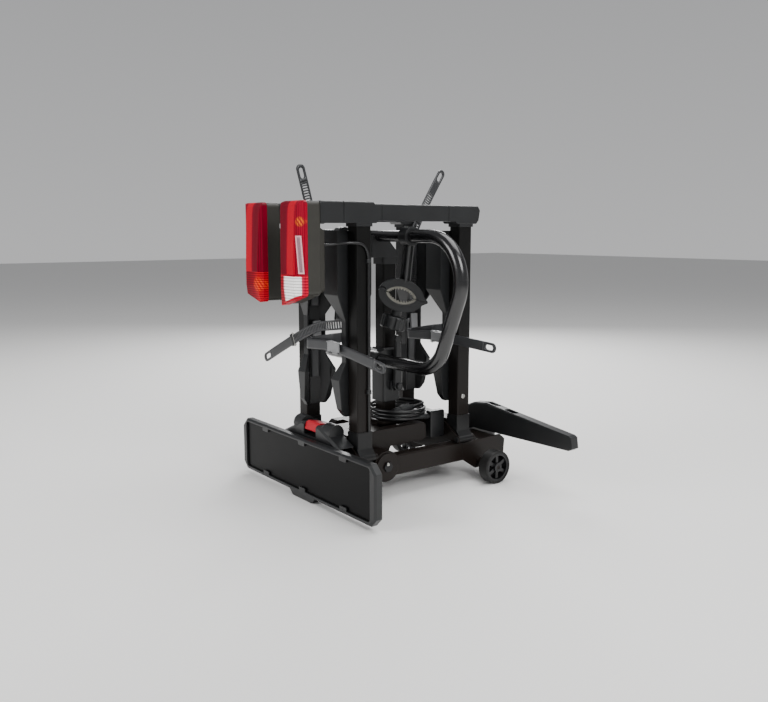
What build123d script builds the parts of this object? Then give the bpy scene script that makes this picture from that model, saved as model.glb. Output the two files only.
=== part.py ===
from build123d import *
import os
from math import atan2, cos, degrees, pi, radians, sin

os.makedirs("parts", exist_ok=True)

# A tow ball bicycle carrier for two bicycles, folded up and standing on its own wheels.
# The origin is the centre of the tow ball seat. +Y points to the car, +X to its right, +Z up.
# Heights are written as ground plus a height, lengths as rear plus a distance.
ground = -82.0
rear = -558.0

# Tow ball seat
ball_radius = 25.1
seat_low = -10.0
seat_high = 2.0
head_radius = 33.5

# Lower chassis, which stays level when the carrier tilts
rail_outer_x = 121.0
rail_width = 30.0
rail_low = ground + 52
rail_height = 47.0
rail_front = rear + 414
pivot_y = rear + 140
pivot_z = ground + 80
drum_radius = 35.5
pivot_pin_radius = 8.0
running = 0.05

# Coupling and the cheeks beside it
housing_half = 34.0
housing_top = ground + 102
housing_low = ground + 60
cheek_top = ground + 99
cheek_front = rear + 517

# Upper platform, which tilts and carries the wings
beam_low = ground + 111
beam_height = 42.0
beam_top = beam_low + beam_height
beam_end_x = 81.0
beam_wall = 3.0
rear_post_y = rear + 83.5
front_post_y = rear + 375.5
post_rows = (rear_post_y, front_post_y)

# Wings: posts, feet and top bars
post_width = 35.0
post_depth = 37.5
post_x = rail_outer_x - post_width / 2
wall = 2.0
hinge_x = 128.0
hinge_z = ground + 109
hinge_pin_radius = 4.0
foot_low = ground + 101
foot_top = ground + 166
bar_low = ground + 620
bar_top = ground + 661
bar_rear = rear - 28
bar_front = rear + 417
bar_inner_x = 80.0
bar_outer_x = 125.0

# Mast and hoop
mast_y = rear + 233
mast_size = (34.0, 38.0)
mast_top = ground + 543
hoop_y = rear + 198
hoop_radius = 15.0
bore_radius = 12.8
hoop_top = ground + 592
hoop_bottom = ground + 304
hoop_bend = 95.0
hoop_low_bend = 80.0
sleeve_x = 145.0

# Frame clamps on the hoop
clamp_x = 104.0
jaw_z = ground + 461
jaw_half_width = 52.0
jaw_half_height = 36.0
jaw_thickness = 26.0
clamp_turn = 53.0
clamp_lean = 15.6
knuckle_x = 131.0

# Number plate holder
plate_width = 524.0
plate_height = 114.0
holder_width = 560.0
holder_low = ground + 10
holder_height = 130.0

# Transport wheels
wheel_radius = 40.0
wheel_y = rear + 432
wheel_inner_x = 159.0
wheel_outer_x = 187.0
axle_radius = 5.0

# Lead with its plug, wound round the foot of the mast
lead_radius = 4.0
coil_radius = 66.0
coil_pitch = 8.7


def save(piece, name):
    """Label one finished piece and write it as its own STEP file."""
    piece.part.label = name
    export_step(piece.part, f"parts/{name}.step")


def save_pair(piece, name):
    """Write a right hand piece and its mirror image on the left."""
    save(piece, f"{name}_right")
    with BuildPart() as left:
        mirror(piece.part, about=Plane.YZ)
    save(left, f"{name}_left")


def across(x):
    """Plane whose sketches hold (y, z) and whose normal is +X."""
    return Plane.YZ.offset(x)


def along(y):
    """Plane whose sketches hold (x, z) and whose normal is -Y."""
    return Plane(origin=(0, y, 0), x_dir=(1, 0, 0), z_dir=(0, -1, 0))


# Chassis: two box rails, the pivot drums, the front cross beam and the wheel brackets
rail_x = rail_outer_x - rail_width / 2
rail_mid = rail_low + rail_height / 2
axle_z = ground + wheel_radius
with BuildPart() as chassis_frame:
    for side in (-1, 1):
        with BuildSketch(along(pivot_y)):
            with Locations((side * rail_x, rail_mid)):
                RectangleRounded(rail_width, rail_height, 4)
                RectangleRounded(rail_width - 5, rail_height - 5, 2, mode=Mode.SUBTRACT)
        extrude(amount=-(rail_front - pivot_y))
        with BuildSketch(along(rail_front)):
            with Locations((side * rail_x, rail_mid)):
                RectangleRounded(rail_width, rail_height, 4)
        extrude(amount=-4)
        with BuildSketch(across(side * (rail_x + 3) - rail_width / 2 - 3)):
            with Locations((pivot_y, pivot_z)):
                Circle(drum_radius)
        extrude(amount=rail_width + 6)
        with BuildSketch(across(side * (rail_outer_x + 8) - 2)):
            with Locations((pivot_y, pivot_z)):
                Circle(drum_radius - 5)
        extrude(amount=4)
        # Cheek of the front end, with the boss and the stub axle of one transport wheel
        with BuildSketch(across(side * (rail_outer_x - 2) - 3)):
            with BuildLine():
                Polyline(
                    (rail_front - 40, rail_low + 4),
                    (rail_front - 40, rail_low + rail_height - 4),
                    (rail_front - 8, cheek_top - 2),
                    (cheek_front - 16, cheek_top),
                    (cheek_front, cheek_top - 13),
                    (cheek_front - 3, ground + 50),
                    (cheek_front - 22, ground + 44),
                    (wheel_y + 14, axle_z - 13),
                    (wheel_y - 14, axle_z - 13),
                    close=True,
                )
            make_face()
        extrude(amount=6)
        with BuildSketch(across(side * (rail_outer_x - 4))):
            with Locations((cheek_front - 52, (housing_low + cheek_top) / 2)):
                RectangleRounded(64, cheek_top - housing_low - 6, 3)
                RectangleRounded(58, cheek_top - housing_low - 12, 2, mode=Mode.SUBTRACT)
        extrude(amount=-side * (rail_outer_x - 4 - housing_half))
        with BuildSketch(across(side * (rail_outer_x + wheel_inner_x) / 2)):
            with Locations((wheel_y, axle_z)):
                Circle(12)
        extrude(amount=(wheel_inner_x - rail_outer_x) / 2 - 0.5, both=True)
        with BuildSketch(across(side * (rail_outer_x + wheel_outer_x) / 2)):
            with Locations((wheel_y, axle_z)):
                Circle(axle_radius)
        extrude(amount=(wheel_outer_x - rail_outer_x) / 2 - 1, both=True)
    with BuildSketch(across(-rail_outer_x + rail_width - 1)):
        with Locations((rail_front - 15, rail_mid)):
            RectangleRounded(30, rail_height - 6, 3)
            RectangleRounded(24, rail_height - 12, 2, mode=Mode.SUBTRACT)
    extrude(amount=2 * (rail_outer_x - rail_width + 1))
    with BuildSketch(across(0)):
        with Locations((pivot_y, pivot_z)):
            Circle(pivot_pin_radius)
    extrude(amount=rail_outer_x + 10, both=True, mode=Mode.SUBTRACT)
save(chassis_frame, "chassis_frame")

with BuildPart() as tilt_pivot_pin:
    with BuildSketch(across(0)):
        with Locations((pivot_y, pivot_z)):
            Circle(pivot_pin_radius)
    extrude(amount=rail_outer_x + 10, both=True)
    for end in (-1, 1):
        with BuildSketch(across(end * (rail_outer_x + 12) - 2)):
            with Locations((pivot_y, pivot_z)):
                RegularPolygon(12, 6)
        extrude(amount=4)
save(tilt_pivot_pin, "tilt_pivot_pin")

# Coupling: a cast head over the tow ball, joined to the front cross beam by a neck
lever_y = rear + 500
lever_pivot_z = ground + 118
lever_half = 15.0
jaw_slot_half = 14.0
with BuildPart() as coupling_housing:
    with BuildSketch(across(-housing_half)):
        with BuildLine():
            Polyline(
                (rail_front, rail_low + 4),
                (rail_front, rail_low + rail_height - 4),
                (lever_y - 40, housing_top),
                (lever_y + 24, housing_top),
                (0, ground + 106),
                (0, ground + 64),
                (lever_y + 20, housing_low),
                close=True,
            )
        make_face()
    extrude(amount=2 * housing_half)
    with BuildSketch(Plane.XY.offset(ground + 64)):
        Circle(head_radius)
    extrude(amount=50)
    fillet(coupling_housing.faces().sort_by(Axis.Z)[-1].edges(), 7)
    # Ears that hold the lever's pin
    for end in (-1, 1):
        with BuildSketch(along(lever_y + end * (lever_half + 3) - 2.5)):
            with BuildLine():
                Polyline(
                    (-20, housing_top - 4), (-12, lever_pivot_z), (12, lever_pivot_z),
                    (20, housing_top - 4), close=True,
                )
            make_face()
            with Locations((0, lever_pivot_z)):
                Circle(12)
                Circle(hinge_pin_radius, mode=Mode.SUBTRACT)
        extrude(amount=-5)
    # Seat for the ball: a short straight wall under a dome
    with BuildSketch(Plane.XY.offset(seat_low)):
        Circle(ball_radius)
    extrude(amount=seat_high - seat_low, mode=Mode.SUBTRACT)
    with BuildSketch(Plane.XY.offset(housing_low - 4)):
        Circle(ball_radius + 2)
    extrude(amount=seat_low - housing_low + 4, mode=Mode.SUBTRACT)
    with Locations((0, 0, seat_high)):
        Sphere(ball_radius, mode=Mode.SUBTRACT)
    # Slot for the sliding jaw behind the ball
    with BuildSketch(Plane.XY.offset(housing_low)):
        with Locations((0, -ball_radius - 14)):
            Rectangle(2 * jaw_slot_half, 44)
    extrude(amount=seat_low + 8 - housing_low, mode=Mode.SUBTRACT)
save(coupling_housing, "coupling_housing")

# Jaw that grips the ball from behind; the lever draws it back
with BuildPart() as ball_jaw:
    with BuildSketch(Plane.XY.offset(housing_low + 3)):
        with Locations((0, -ball_radius - 9)):
            Rectangle(2 * jaw_slot_half - 0.8, 26)
    extrude(amount=seat_low + 4 - housing_low)
    with BuildSketch(Plane.XY.offset(housing_low)):
        Circle(ball_radius + 0.4)
    extrude(amount=40, mode=Mode.SUBTRACT)
    chamfer(ball_jaw.faces().sort_by(Axis.Z)[0].edges().filter_by(Axis.X), 4)
save(ball_jaw, "ball_jaw")

# Lever: a moulded arm across the coupling, with a raised finger pad and a slot on its root
lever_tip_x = 358.0
with BuildPart() as coupling_lever:
    with BuildSketch(along(lever_y - lever_half)):
        with BuildLine():
            Polyline(
                (0, lever_pivot_z - 12.5),
                (20, ground + 105),
                (70, ground + 104),
                (lever_tip_x - 6, ground + 107),
                (lever_tip_x + 4, ground + 113),
                (lever_tip_x, ground + 138),
                (lever_tip_x - 8, ground + 142),
                (150, ground + 166),
                (84, ground + 175),
                (40, ground + 170),
                (16, ground + 160),
                (0, lever_pivot_z + 12.5),
                close=True,
            )
        make_face()
        with Locations((0, lever_pivot_z)):
            Circle(12.5)
    extrude(amount=-2 * lever_half)
    side_faces = coupling_lever.faces().filter_by(Axis.Y)
    chamfer(side_faces.edges().filter_by(lambda e: e.center().Z > ground + 150), 4)
    # The arm narrows a little towards its tip
    with BuildSketch(Plane.XY.offset(ground + 180)):
        for end in (-1, 1):
            with BuildLine():
                Polyline(
                    (100, lever_y + end * (lever_half + 1)),
                    (lever_tip_x + 10, lever_y + end * (lever_half + 1)),
                    (lever_tip_x + 10, lever_y + end * (lever_half - 4)),
                    (100, lever_y + end * lever_half),
                    close=True,
                )
            make_face()
    extrude(amount=-90, mode=Mode.SUBTRACT)
    # Finger pad, recessed between two rims, and the slot behind it
    with BuildSketch(Plane.XY.offset(ground + 180)):
        with Locations((104, lever_y)):
            SlotOverall(66, 14)
    extrude(amount=-11, mode=Mode.SUBTRACT)
    with BuildSketch(Plane.XY.offset(ground + 180)):
        with Locations((162, lever_y)):
            RectangleRounded(34, 18, 4)
    extrude(amount=-22, mode=Mode.SUBTRACT)
    with BuildSketch(along(lever_y - lever_half - 1)):
        with Locations((0, lever_pivot_z)):
            Circle(hinge_pin_radius + running)
    extrude(amount=-2 * lever_half - 2, mode=Mode.SUBTRACT)
save(coupling_lever, "coupling_lever")

with BuildPart() as lever_pin:
    with BuildSketch(along(lever_y)):
        with Locations((0, lever_pivot_z)):
            Circle(hinge_pin_radius)
    extrude(amount=lever_half + 7, both=True)
    for end in (-1, 1):
        with BuildSketch(along(lever_y + end * (lever_half + 7) - 1.25)):
            with Locations((0, lever_pivot_z)):
                Circle(7)
        extrude(amount=-2.5)
save(lever_pin, "lever_pin")

# Transport wheels: a rubber tread round a hub with six spokes
wheel_width = wheel_outer_x - wheel_inner_x
wheel_mid_x = (wheel_inner_x + wheel_outer_x) / 2
rim_outer = wheel_radius - 6
with BuildPart() as wheel_hub:
    with BuildSketch(across(wheel_mid_x)):
        with Locations((wheel_y, axle_z)):
            Circle(rim_outer)
            Circle(rim_outer - 5, mode=Mode.SUBTRACT)
    extrude(amount=wheel_width / 2 - 1, both=True)
    with BuildSketch(across(wheel_mid_x)):
        with Locations((wheel_y, axle_z)):
            Circle(11)
    extrude(amount=wheel_width / 2, both=True)
    with BuildSketch(across(wheel_mid_x)):
        with Locations((wheel_y, axle_z)):
            with PolarLocations(20, 6, start_angle=90):
                Rectangle(26, 8)
    extrude(amount=wheel_width / 2 - 5, both=True)
    with BuildSketch(across(wheel_mid_x)):
        with Locations((wheel_y, axle_z)):
            Circle(axle_radius + running)
    extrude(amount=wheel_width, both=True, mode=Mode.SUBTRACT)
save_pair(wheel_hub, "wheel_hub")

with BuildPart() as wheel_tyre:
    with BuildSketch(across(wheel_mid_x)):
        with Locations((wheel_y, axle_z)):
            Circle(wheel_radius)
            Circle(rim_outer, mode=Mode.SUBTRACT)
    extrude(amount=wheel_width / 2, both=True)
    fillet(wheel_tyre.edges().filter_by(GeomType.CIRCLE).group_by(SortBy.RADIUS)[-1], 3)
save_pair(wheel_tyre, "wheel_tyre")

# Platform: spine, two hinge beams, mast carrier rails with pivot eyes, hinge cheeks
carrier_x = 71.0
carrier_width = 26.0
carrier_front = rear + 290
eye_radius = 27.0
cheek_thickness = 4.0
cheek_gap = post_depth / 2 + wall + 0.25
with BuildPart() as platform_frame:
    with BuildSketch(Plane.XY.offset(beam_low)):
        with Locations((0, (rear_post_y + front_post_y) / 2)):
            Rectangle(50, front_post_y - rear_post_y)
        for row in post_rows:
            with Locations((0, row)):
                Rectangle(2 * beam_end_x, post_depth)
        for row in (rear + 160, rear + 268):
            with Locations((0, row)):
                Rectangle(2 * (carrier_x + carrier_width / 2) - 4, 24)
    extrude(amount=beam_height)
    fillet(platform_frame.edges().filter_by(Axis.Z), 3)
    # The spine and the two hinge beams are tubes, open at the beams' ends
    with BuildSketch(Plane.XY.offset(beam_low + beam_wall)):
        with Locations((0, (rear_post_y + front_post_y) / 2)):
            Rectangle(50 - 2 * beam_wall, front_post_y - rear_post_y)
        for row in post_rows:
            with Locations((0, row)):
                Rectangle(2 * beam_end_x + 2, post_depth - 2 * beam_wall)
    extrude(amount=beam_height - 2 * beam_wall, mode=Mode.SUBTRACT)
    # Mast carrier rails, each ending in a round eye on the pivot pin
    for side in (-1, 1):
        with BuildSketch(across(side * carrier_x - carrier_width / 2)):
            with BuildLine():
                Polyline(
                    (pivot_y - eye_radius, pivot_z),
                    (pivot_y - 16, beam_top - 6),
                    (pivot_y - 8, beam_top),
                    (carrier_front - 6, beam_top),
                    (carrier_front, beam_top - 6),
                    (carrier_front, beam_low + 4),
                    (carrier_front - 10, beam_low),
                    (pivot_y + 44, beam_low),
                    (pivot_y + 24, pivot_z - 10),
                    close=True,
                )
            make_face()
            with Locations((pivot_y, pivot_z)):
                Circle(eye_radius)
        extrude(amount=carrier_width)
    with BuildSketch(across(0)):
        with Locations((pivot_y, pivot_z)):
            Circle(pivot_pin_radius + 6)
    extrude(amount=carrier_x, both=True)
    with BuildSketch(across(0)):
        with Locations((pivot_y, pivot_z)):
            Circle(pivot_pin_radius + running)
    extrude(amount=beam_end_x + 10, both=True, mode=Mode.SUBTRACT)
    # Cheeks that hold the wing hinge pins on both sides of each foot
    for side in (-1, 1):
        for row in post_rows:
            for end in (-1, 1):
                with BuildSketch(along(row + end * (cheek_gap + cheek_thickness / 2) - cheek_thickness / 2)):
                    with BuildLine():
                        Polyline(
                            (side * 60, beam_low),
                            (side * 60, beam_top - 8),
                            (side * 84, beam_top - 8),
                            (side * hinge_x, hinge_z + 8),
                            (side * hinge_x, hinge_z - 8),
                            (side * 84, hinge_z - 5),
                            close=True,
                        )
                    make_face()
                    with Locations((side * hinge_x, hinge_z)):
                        Circle(8)
                        Circle(hinge_pin_radius, mode=Mode.SUBTRACT)
                extrude(amount=-cheek_thickness)
                with BuildSketch(along(row + end * (cheek_gap + cheek_thickness) - end * 8 - 8)):
                    with Locations((side * 70, (beam_low + beam_top) / 2 - 4)):
                        Rectangle(20, beam_height - 8)
                extrude(amount=-16)
save(platform_frame, "platform_frame")

with BuildPart() as wing_hinge_pins:
    for side in (-1, 1):
        for row in post_rows:
            with BuildSketch(along(row)):
                with Locations((side * hinge_x, hinge_z)):
                    Circle(hinge_pin_radius)
            extrude(amount=cheek_gap + cheek_thickness, both=True)
            for end in (-1, 1):
                with BuildSketch(along(row + end * (cheek_gap + cheek_thickness + 1.25) - 1.25)):
                    with Locations((side * hinge_x, hinge_z)):
                        Circle(6.5)
                extrude(amount=-2.5)
save(wing_hinge_pins, "wing_hinge_pins")

# Mast: base plate and box post, its clamp collar, its lever and its cap
base_top = beam_top + 6
with BuildPart() as mast_post:
    with BuildSketch(Plane.XY.offset(beam_top)):
        with Locations((0, mast_y)):
            RectangleRounded(92, 84, 8)
    extrude(amount=base_top - beam_top)
    with BuildSketch(Plane.XY.offset(base_top)):
        with Locations((0, mast_y)):
            RectangleRounded(*mast_size, 4)
            RectangleRounded(mast_size[0] - 5, mast_size[1] - 5, 2, mode=Mode.SUBTRACT)
    extrude(amount=mast_top - base_top)
save(mast_post, "mast_post")

collar_low = ground + 202
collar_top = ground + 330
with BuildPart() as mast_collar:
    with BuildSketch(Plane.XY.offset(collar_low)):
        with Locations((0, mast_y)):
            RectangleRounded(mast_size[0] + 16, mast_size[1] + 12, 6)
    extrude(amount=collar_top - collar_low)
    chamfer(mast_collar.faces().sort_by(Axis.Z)[-1].edges(), 4)
    # Saddle round the hoop's lower tube
    with BuildSketch(across(-28)):
        with BuildLine():
            Polyline(
                (mast_y - 20, hoop_bottom - 34),
                (hoop_y, hoop_bottom - 19),
                (hoop_y, hoop_bottom + 19),
                (mast_y - 20, hoop_bottom + 24),
                close=True,
            )
        make_face()
        with Locations((hoop_y, hoop_bottom)):
            Circle(19)
    extrude(amount=56)
    with BuildSketch(Plane.XY.offset(collar_low)):
        with Locations((0, mast_y)):
            RectangleRounded(*mast_size, 4)
    extrude(amount=collar_top - collar_low, mode=Mode.SUBTRACT)
    with BuildSketch(across(0)):
        with Locations((hoop_y, hoop_bottom)):
            Circle(hoop_radius)
    extrude(amount=40, both=True, mode=Mode.SUBTRACT)
    # Clamp ear on the right with the lever's bolt
    lever_bolt_y = mast_y + 6
    with BuildSketch(across(25)):
        with Locations((lever_bolt_y, ground + 240)):
            RectangleRounded(30, 22, 5)
    extrude(amount=9)
    with BuildSketch(across(34)):
        with Locations((lever_bolt_y, ground + 240)):
            Circle(5)
    extrude(amount=11)
    with BuildSketch(across(44.5)):
        with Locations((lever_bolt_y, ground + 240)):
            RegularPolygon(8, 6)
    extrude(amount=5)
save(mast_collar, "mast_collar")

# Clamp lever: turns on the bolt that stands out of the collar
with BuildPart() as mast_lever:
    with BuildSketch(across(35)):
        with Locations((lever_bolt_y, ground + 240)):
            Circle(12)
        with BuildLine():
            Polyline(
                (lever_bolt_y - 11, ground + 240),
                (lever_bolt_y - 7, ground + 352),
                (lever_bolt_y + 7, ground + 352),
                (lever_bolt_y + 11, ground + 240),
                close=True,
            )
        make_face()
        with Locations((lever_bolt_y, ground + 352)):
            Circle(9)
    extrude(amount=9)
    with BuildSketch(across(30)):
        with Locations((lever_bolt_y, ground + 240)):
            Circle(5 + running)
    extrude(amount=30, mode=Mode.SUBTRACT)
    chamfer(mast_lever.faces().sort_by(Axis.X)[-1].edges().filter_by(GeomType.LINE), 2)
save(mast_lever, "mast_lever")

with BuildPart() as mast_cap:
    with BuildSketch(Plane.XY.offset(mast_top)):
        with Locations((0, (mast_y + hoop_y) / 2)):
            RectangleRounded(46, mast_y - hoop_y + mast_size[1] + 6, 6)
    extrude(amount=hoop_top - mast_top)
    with BuildSketch(Plane.XY.offset(mast_top - 16)):
        with Locations((0, mast_y)):
            RectangleRounded(mast_size[0] + 8, mast_size[1] + 8, 5)
            RectangleRounded(*mast_size, 4, mode=Mode.SUBTRACT)
    extrude(amount=16)
    with BuildSketch(across(-40)):
        with BuildLine():
            Polyline(
                (hoop_y + 18, hoop_top + 1),
                (mast_y + 30, hoop_top + 1),
                (mast_y + 30, mast_top + 12),
                (mast_y + 12, mast_top + 18),
                close=True,
            )
        make_face()
        with Locations((hoop_y, hoop_top)):
            Circle(bore_radius)
    extrude(amount=80, mode=Mode.SUBTRACT)
save(mast_cap, "mast_cap")

# Hoop: one bent tube, open at the top, closed there by a thinner sleeve tube
shoulder = (350.0, hoop_top)
heel = (228.0, hoop_bottom)
with BuildPart() as hoop_tube:
    with BuildLine(along(hoop_y)):
        FilletPolyline(
            (sleeve_x, hoop_top), shoulder, heel,
            (-heel[0], heel[1]), (-shoulder[0], shoulder[1]), (-sleeve_x, hoop_top),
            radius=(hoop_bend, hoop_low_bend, hoop_low_bend, hoop_bend),
        )
    with BuildSketch(across(sleeve_x)):
        with Locations((hoop_y, hoop_top)):
            Circle(hoop_radius)
            Circle(bore_radius, mode=Mode.SUBTRACT)
    sweep()
save(hoop_tube, "hoop_tube")

with BuildPart() as hoop_sleeve:
    with BuildSketch(across(0)):
        with Locations((hoop_y, hoop_top)):
            Circle(bore_radius)
            Circle(bore_radius - 2, mode=Mode.SUBTRACT)
    extrude(amount=sleeve_x + 35, both=True)
save(hoop_sleeve, "hoop_sleeve")


# Frame clamps: a knuckle on the sleeve tube carries a grooved arm and an eye of two toothed jaws
turn = radians(clamp_turn)
lean = radians(clamp_lean)
clamp_facing = Vector(sin(turn), -cos(turn), 0)
clamp_along = Vector(cos(turn) * cos(lean), sin(turn) * cos(lean), -sin(lean))
clamp_up = Vector(cos(turn) * sin(lean), sin(turn) * sin(lean), cos(lean))
eye_centre = Vector(clamp_x, hoop_y, jaw_z)


def clamp_plane(offset):
    """Plane of the eye: x along the split between the jaws, y up the clamp."""
    return Plane(origin=eye_centre + clamp_facing * offset, x_dir=clamp_along, z_dir=clamp_facing)


def below_eye(drop):
    """Plane across the clamp's axis, so far below the middle of the eye."""
    return Plane(origin=eye_centre - clamp_up * drop, x_dir=clamp_along, z_dir=clamp_up)


# Outline of both jaws with the pointed beak, and the eye between them
with BuildSketch() as jaw_outline:
    Ellipse(jaw_half_width, jaw_half_height)
    with BuildLine():
        Polyline(
            (18, jaw_half_height - 3), (jaw_half_width + 9, 2), (jaw_half_width + 9, -2),
            (18, 3 - jaw_half_height), close=True,
        )
    make_face()
    Ellipse(jaw_half_width - 15, jaw_half_height - 14, mode=Mode.SUBTRACT)

jaw_pivot = (8 - jaw_half_width, 0)
arm_foot = eye_centre + clamp_up * (jaw_half_height - 6)
arm_head = Vector(knuckle_x, hoop_y, hoop_top - 17)
with BuildPart() as clamp_arm:
    with BuildSketch(across(knuckle_x - 13)):
        with Locations((hoop_y, hoop_top)):
            Circle(21)
    extrude(amount=26)
    with BuildSketch(Plane(origin=arm_foot, x_dir=(0, 1, 0), z_dir=arm_head - arm_foot)):
        RectangleRounded(18, 22, 3)
        for end in (-1, 1):
            with Locations((end * 9, 0)):
                Rectangle(8, 12, mode=Mode.SUBTRACT)
            with Locations((0, end * 11)):
                Rectangle(8, 8, mode=Mode.SUBTRACT)
    extrude(amount=(arm_head - arm_foot).length)
    with BuildSketch(across(knuckle_x - 20)):
        with Locations((hoop_y, hoop_top)):
            Circle(bore_radius + running)
    extrude(amount=40, mode=Mode.SUBTRACT)
    # Upper jaw: the upper half of the eye
    with BuildSketch(clamp_plane(-jaw_thickness / 2)):
        add(jaw_outline.sketch)
        with Locations((0, -jaw_half_height)):
            Rectangle(3 * jaw_half_width, 2 * jaw_half_height - 1, mode=Mode.SUBTRACT)
    extrude(amount=jaw_thickness)
    # Knuckle plate and pin of the lower jaw
    with BuildSketch(clamp_plane(6 - jaw_thickness / 2)):
        with Locations(jaw_pivot):
            Circle(9)
    extrude(amount=jaw_thickness, mode=Mode.SUBTRACT)
    with BuildSketch(clamp_plane(-jaw_thickness / 2)):
        with Locations(jaw_pivot):
            Circle(7)
    extrude(amount=6)
    with BuildSketch(clamp_plane(-jaw_thickness / 2)):
        with Locations(jaw_pivot):
            Circle(3)
    extrude(amount=jaw_thickness)
save_pair(clamp_arm, "clamp_arm")

with BuildPart() as clamp_jaw:
    with BuildSketch(clamp_plane(6.5 - jaw_thickness / 2)):
        add(jaw_outline.sketch)
        with Locations((0, jaw_half_height)):
            Rectangle(3 * jaw_half_width, 2 * jaw_half_height + 2, mode=Mode.SUBTRACT)
        with Locations(jaw_pivot):
            Circle(7)
            Circle(3 + running, mode=Mode.SUBTRACT)
    extrude(amount=jaw_thickness - 7)
    with BuildSketch(below_eye(jaw_half_height + 12)):
        Circle(13)
    extrude(amount=15, taper=8)
    with BuildSketch(below_eye(jaw_half_height + 38)):
        Circle(6)
    extrude(amount=40)
save_pair(clamp_jaw, "clamp_jaw")

with BuildPart() as clamp_knob:
    with BuildSketch(below_eye(jaw_half_height + 42)):
        Circle(29)
    extrude(amount=29)
    knob_ends = clamp_knob.faces().filter_by(GeomType.PLANE)
    chamfer(knob_ends.edges(), 3)
    with BuildSketch(below_eye(jaw_half_height + 43)):
        with PolarLocations(33, 8):
            Circle(7)
    extrude(amount=31, mode=Mode.SUBTRACT)
    with BuildSketch(below_eye(jaw_half_height + 40)):
        Circle(6 + running)
    extrude(amount=40, mode=Mode.SUBTRACT)
save_pair(clamp_knob, "clamp_knob")

# Number plate holder: a frame with a recess, six clips and a foot under its middle
holder_depth = 12.0
rim = 6.0
corner = 18.0
holder_mid = holder_low + holder_height / 2
plate_mid = holder_low + 9 + plate_height / 2
with BuildPart() as plate_holder:
    with BuildSketch(along(rear - rim)):
        with Locations((0, holder_mid)):
            Rectangle(holder_width, holder_height)
        chamfer(vertices(), corner)
    extrude(amount=-holder_depth - rim)
    chamfer(plate_holder.faces().sort_by(Axis.Y)[0].edges(), 4)
    with BuildSketch(along(rear - rim)):
        with Locations((0, plate_mid)):
            RectangleRounded(plate_width, plate_height, 8)
    extrude(amount=-rim, mode=Mode.SUBTRACT)
    # Hollow back with ribs
    with BuildSketch(along(rear + 4)):
        with Locations((0, holder_mid)):
            with GridLocations(134, 0, 4, 1):
                RectangleRounded(126, holder_height - 20, 8)
    extrude(amount=-holder_depth, mode=Mode.SUBTRACT)
    # Clips that hold the plate
    for x in (-165, 0, 165):
        for end in (-1, 1):
            with BuildSketch(along(rear - rim)):
                with Locations((x, plate_mid + end * (plate_height / 2 - 2))):
                    RectangleRounded(26, 12, 3)
            extrude(amount=-3)
    # Foot tab that stands on the ground
    with BuildSketch(along(rear - rim)):
        with BuildLine():
            Polyline((-58, holder_low + 6), (-40, ground), (40, ground), (58, holder_low + 6), close=True)
        make_face()
    extrude(amount=-holder_depth - rim)
save(plate_holder, "plate_holder")

with BuildPart() as number_plate:
    with BuildSketch(along(rear - 1.5)):
        with Locations((0, plate_mid)):
            RectangleRounded(plate_width - 1, plate_height - 1, 8)
    extrude(amount=-1.5)
save(number_plate, "number_plate")

# Bracket from the platform's rear beam to the holder
cheek_rear = rear_post_y - cheek_gap - cheek_thickness
shelf_top = ground + 136
with BuildPart() as plate_bracket:
    with BuildSketch(along(rear + holder_depth)):
        with Locations((0, shelf_top - 12)):
            Rectangle(164, 24)
    extrude(amount=-4)
    for side in (-1, 1):
        with BuildSketch(across(side * 72 - 3)):
            with Locations(((rear + holder_depth + cheek_rear) / 2, shelf_top - 12)):
                Rectangle(cheek_rear - rear - holder_depth, 24)
        extrude(amount=6)
    with BuildSketch(Plane.XY.offset(shelf_top - 4)):
        with Locations((0, (rear + holder_depth + cheek_rear) / 2)):
            Rectangle(164, cheek_rear - rear - holder_depth)
    extrude(amount=4)
save(plate_bracket, "plate_bracket")

# Pedal housing: a moulded cover that slopes down to both sides, with a notch for the pedal
pedal_pivot_y = rear + 51
pedal_pivot_z = ground + 160
with BuildPart() as pedal_housing:
    with BuildSketch(along(rear + holder_depth + 5)):
        with BuildLine():
            Polyline(
                (-118, ground + 136), (-104, ground + 142), (-50, ground + 166), (-36, ground + 172),
                (36, ground + 172), (50, ground + 166), (104, ground + 142), (118, ground + 136), close=True,
            )
        make_face()
    extrude(amount=-(cheek_rear - rear - holder_depth - 6))
    rear_edges = pedal_housing.faces().sort_by(Axis.Y)[0].edges()
    chamfer(rear_edges.filter_by(lambda e: e.center().Z > ground + 138), 5)
    with BuildSketch(across(-25)):
        with BuildLine():
            Polyline(
                (rear + 10, ground + 144), (rear + 62, ground + 144), (rear + 62, ground + 180),
                (rear + 10, ground + 180), close=True,
            )
        make_face()
    extrude(amount=50, mode=Mode.SUBTRACT)
    # Domes on both sides of the notch, and the pedal's pin across it
    for side in (-1, 1):
        with BuildSketch(across(side * 60 - 16)):
            with BuildLine():
                dome_rim = Line((rear + 24, ground + 150), (rear + 56, ground + 150))
                ThreePointArc(dome_rim @ 1, (rear + 40, ground + 180), dome_rim @ 0)
            make_face()
        extrude(amount=32)
    with BuildSketch(across(0)):
        with Locations((pedal_pivot_y, pedal_pivot_z)):
            Circle(3)
    extrude(amount=34, both=True)
save(pedal_housing, "pedal_housing")

with BuildPart() as foot_pedal:
    with BuildSketch(across(-24)):
        with BuildLine():
            Polyline(
                (rear + 19, ground + 157), (rear + 24, ground + 172), (rear + 30, ground + 175),
                (pedal_pivot_y, ground + 171), (pedal_pivot_y, ground + 154), (rear + 34, ground + 164),
                (rear + 24, ground + 153), close=True,
            )
        make_face()
        with Locations((pedal_pivot_y, pedal_pivot_z + 2)):
            Circle(9)
    extrude(amount=48)
    with BuildSketch(across(0)):
        with Locations((pedal_pivot_y, pedal_pivot_z)):
            Circle(3 + running)
    extrude(amount=34, both=True, mode=Mode.SUBTRACT)
save(foot_pedal, "foot_pedal")

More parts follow.
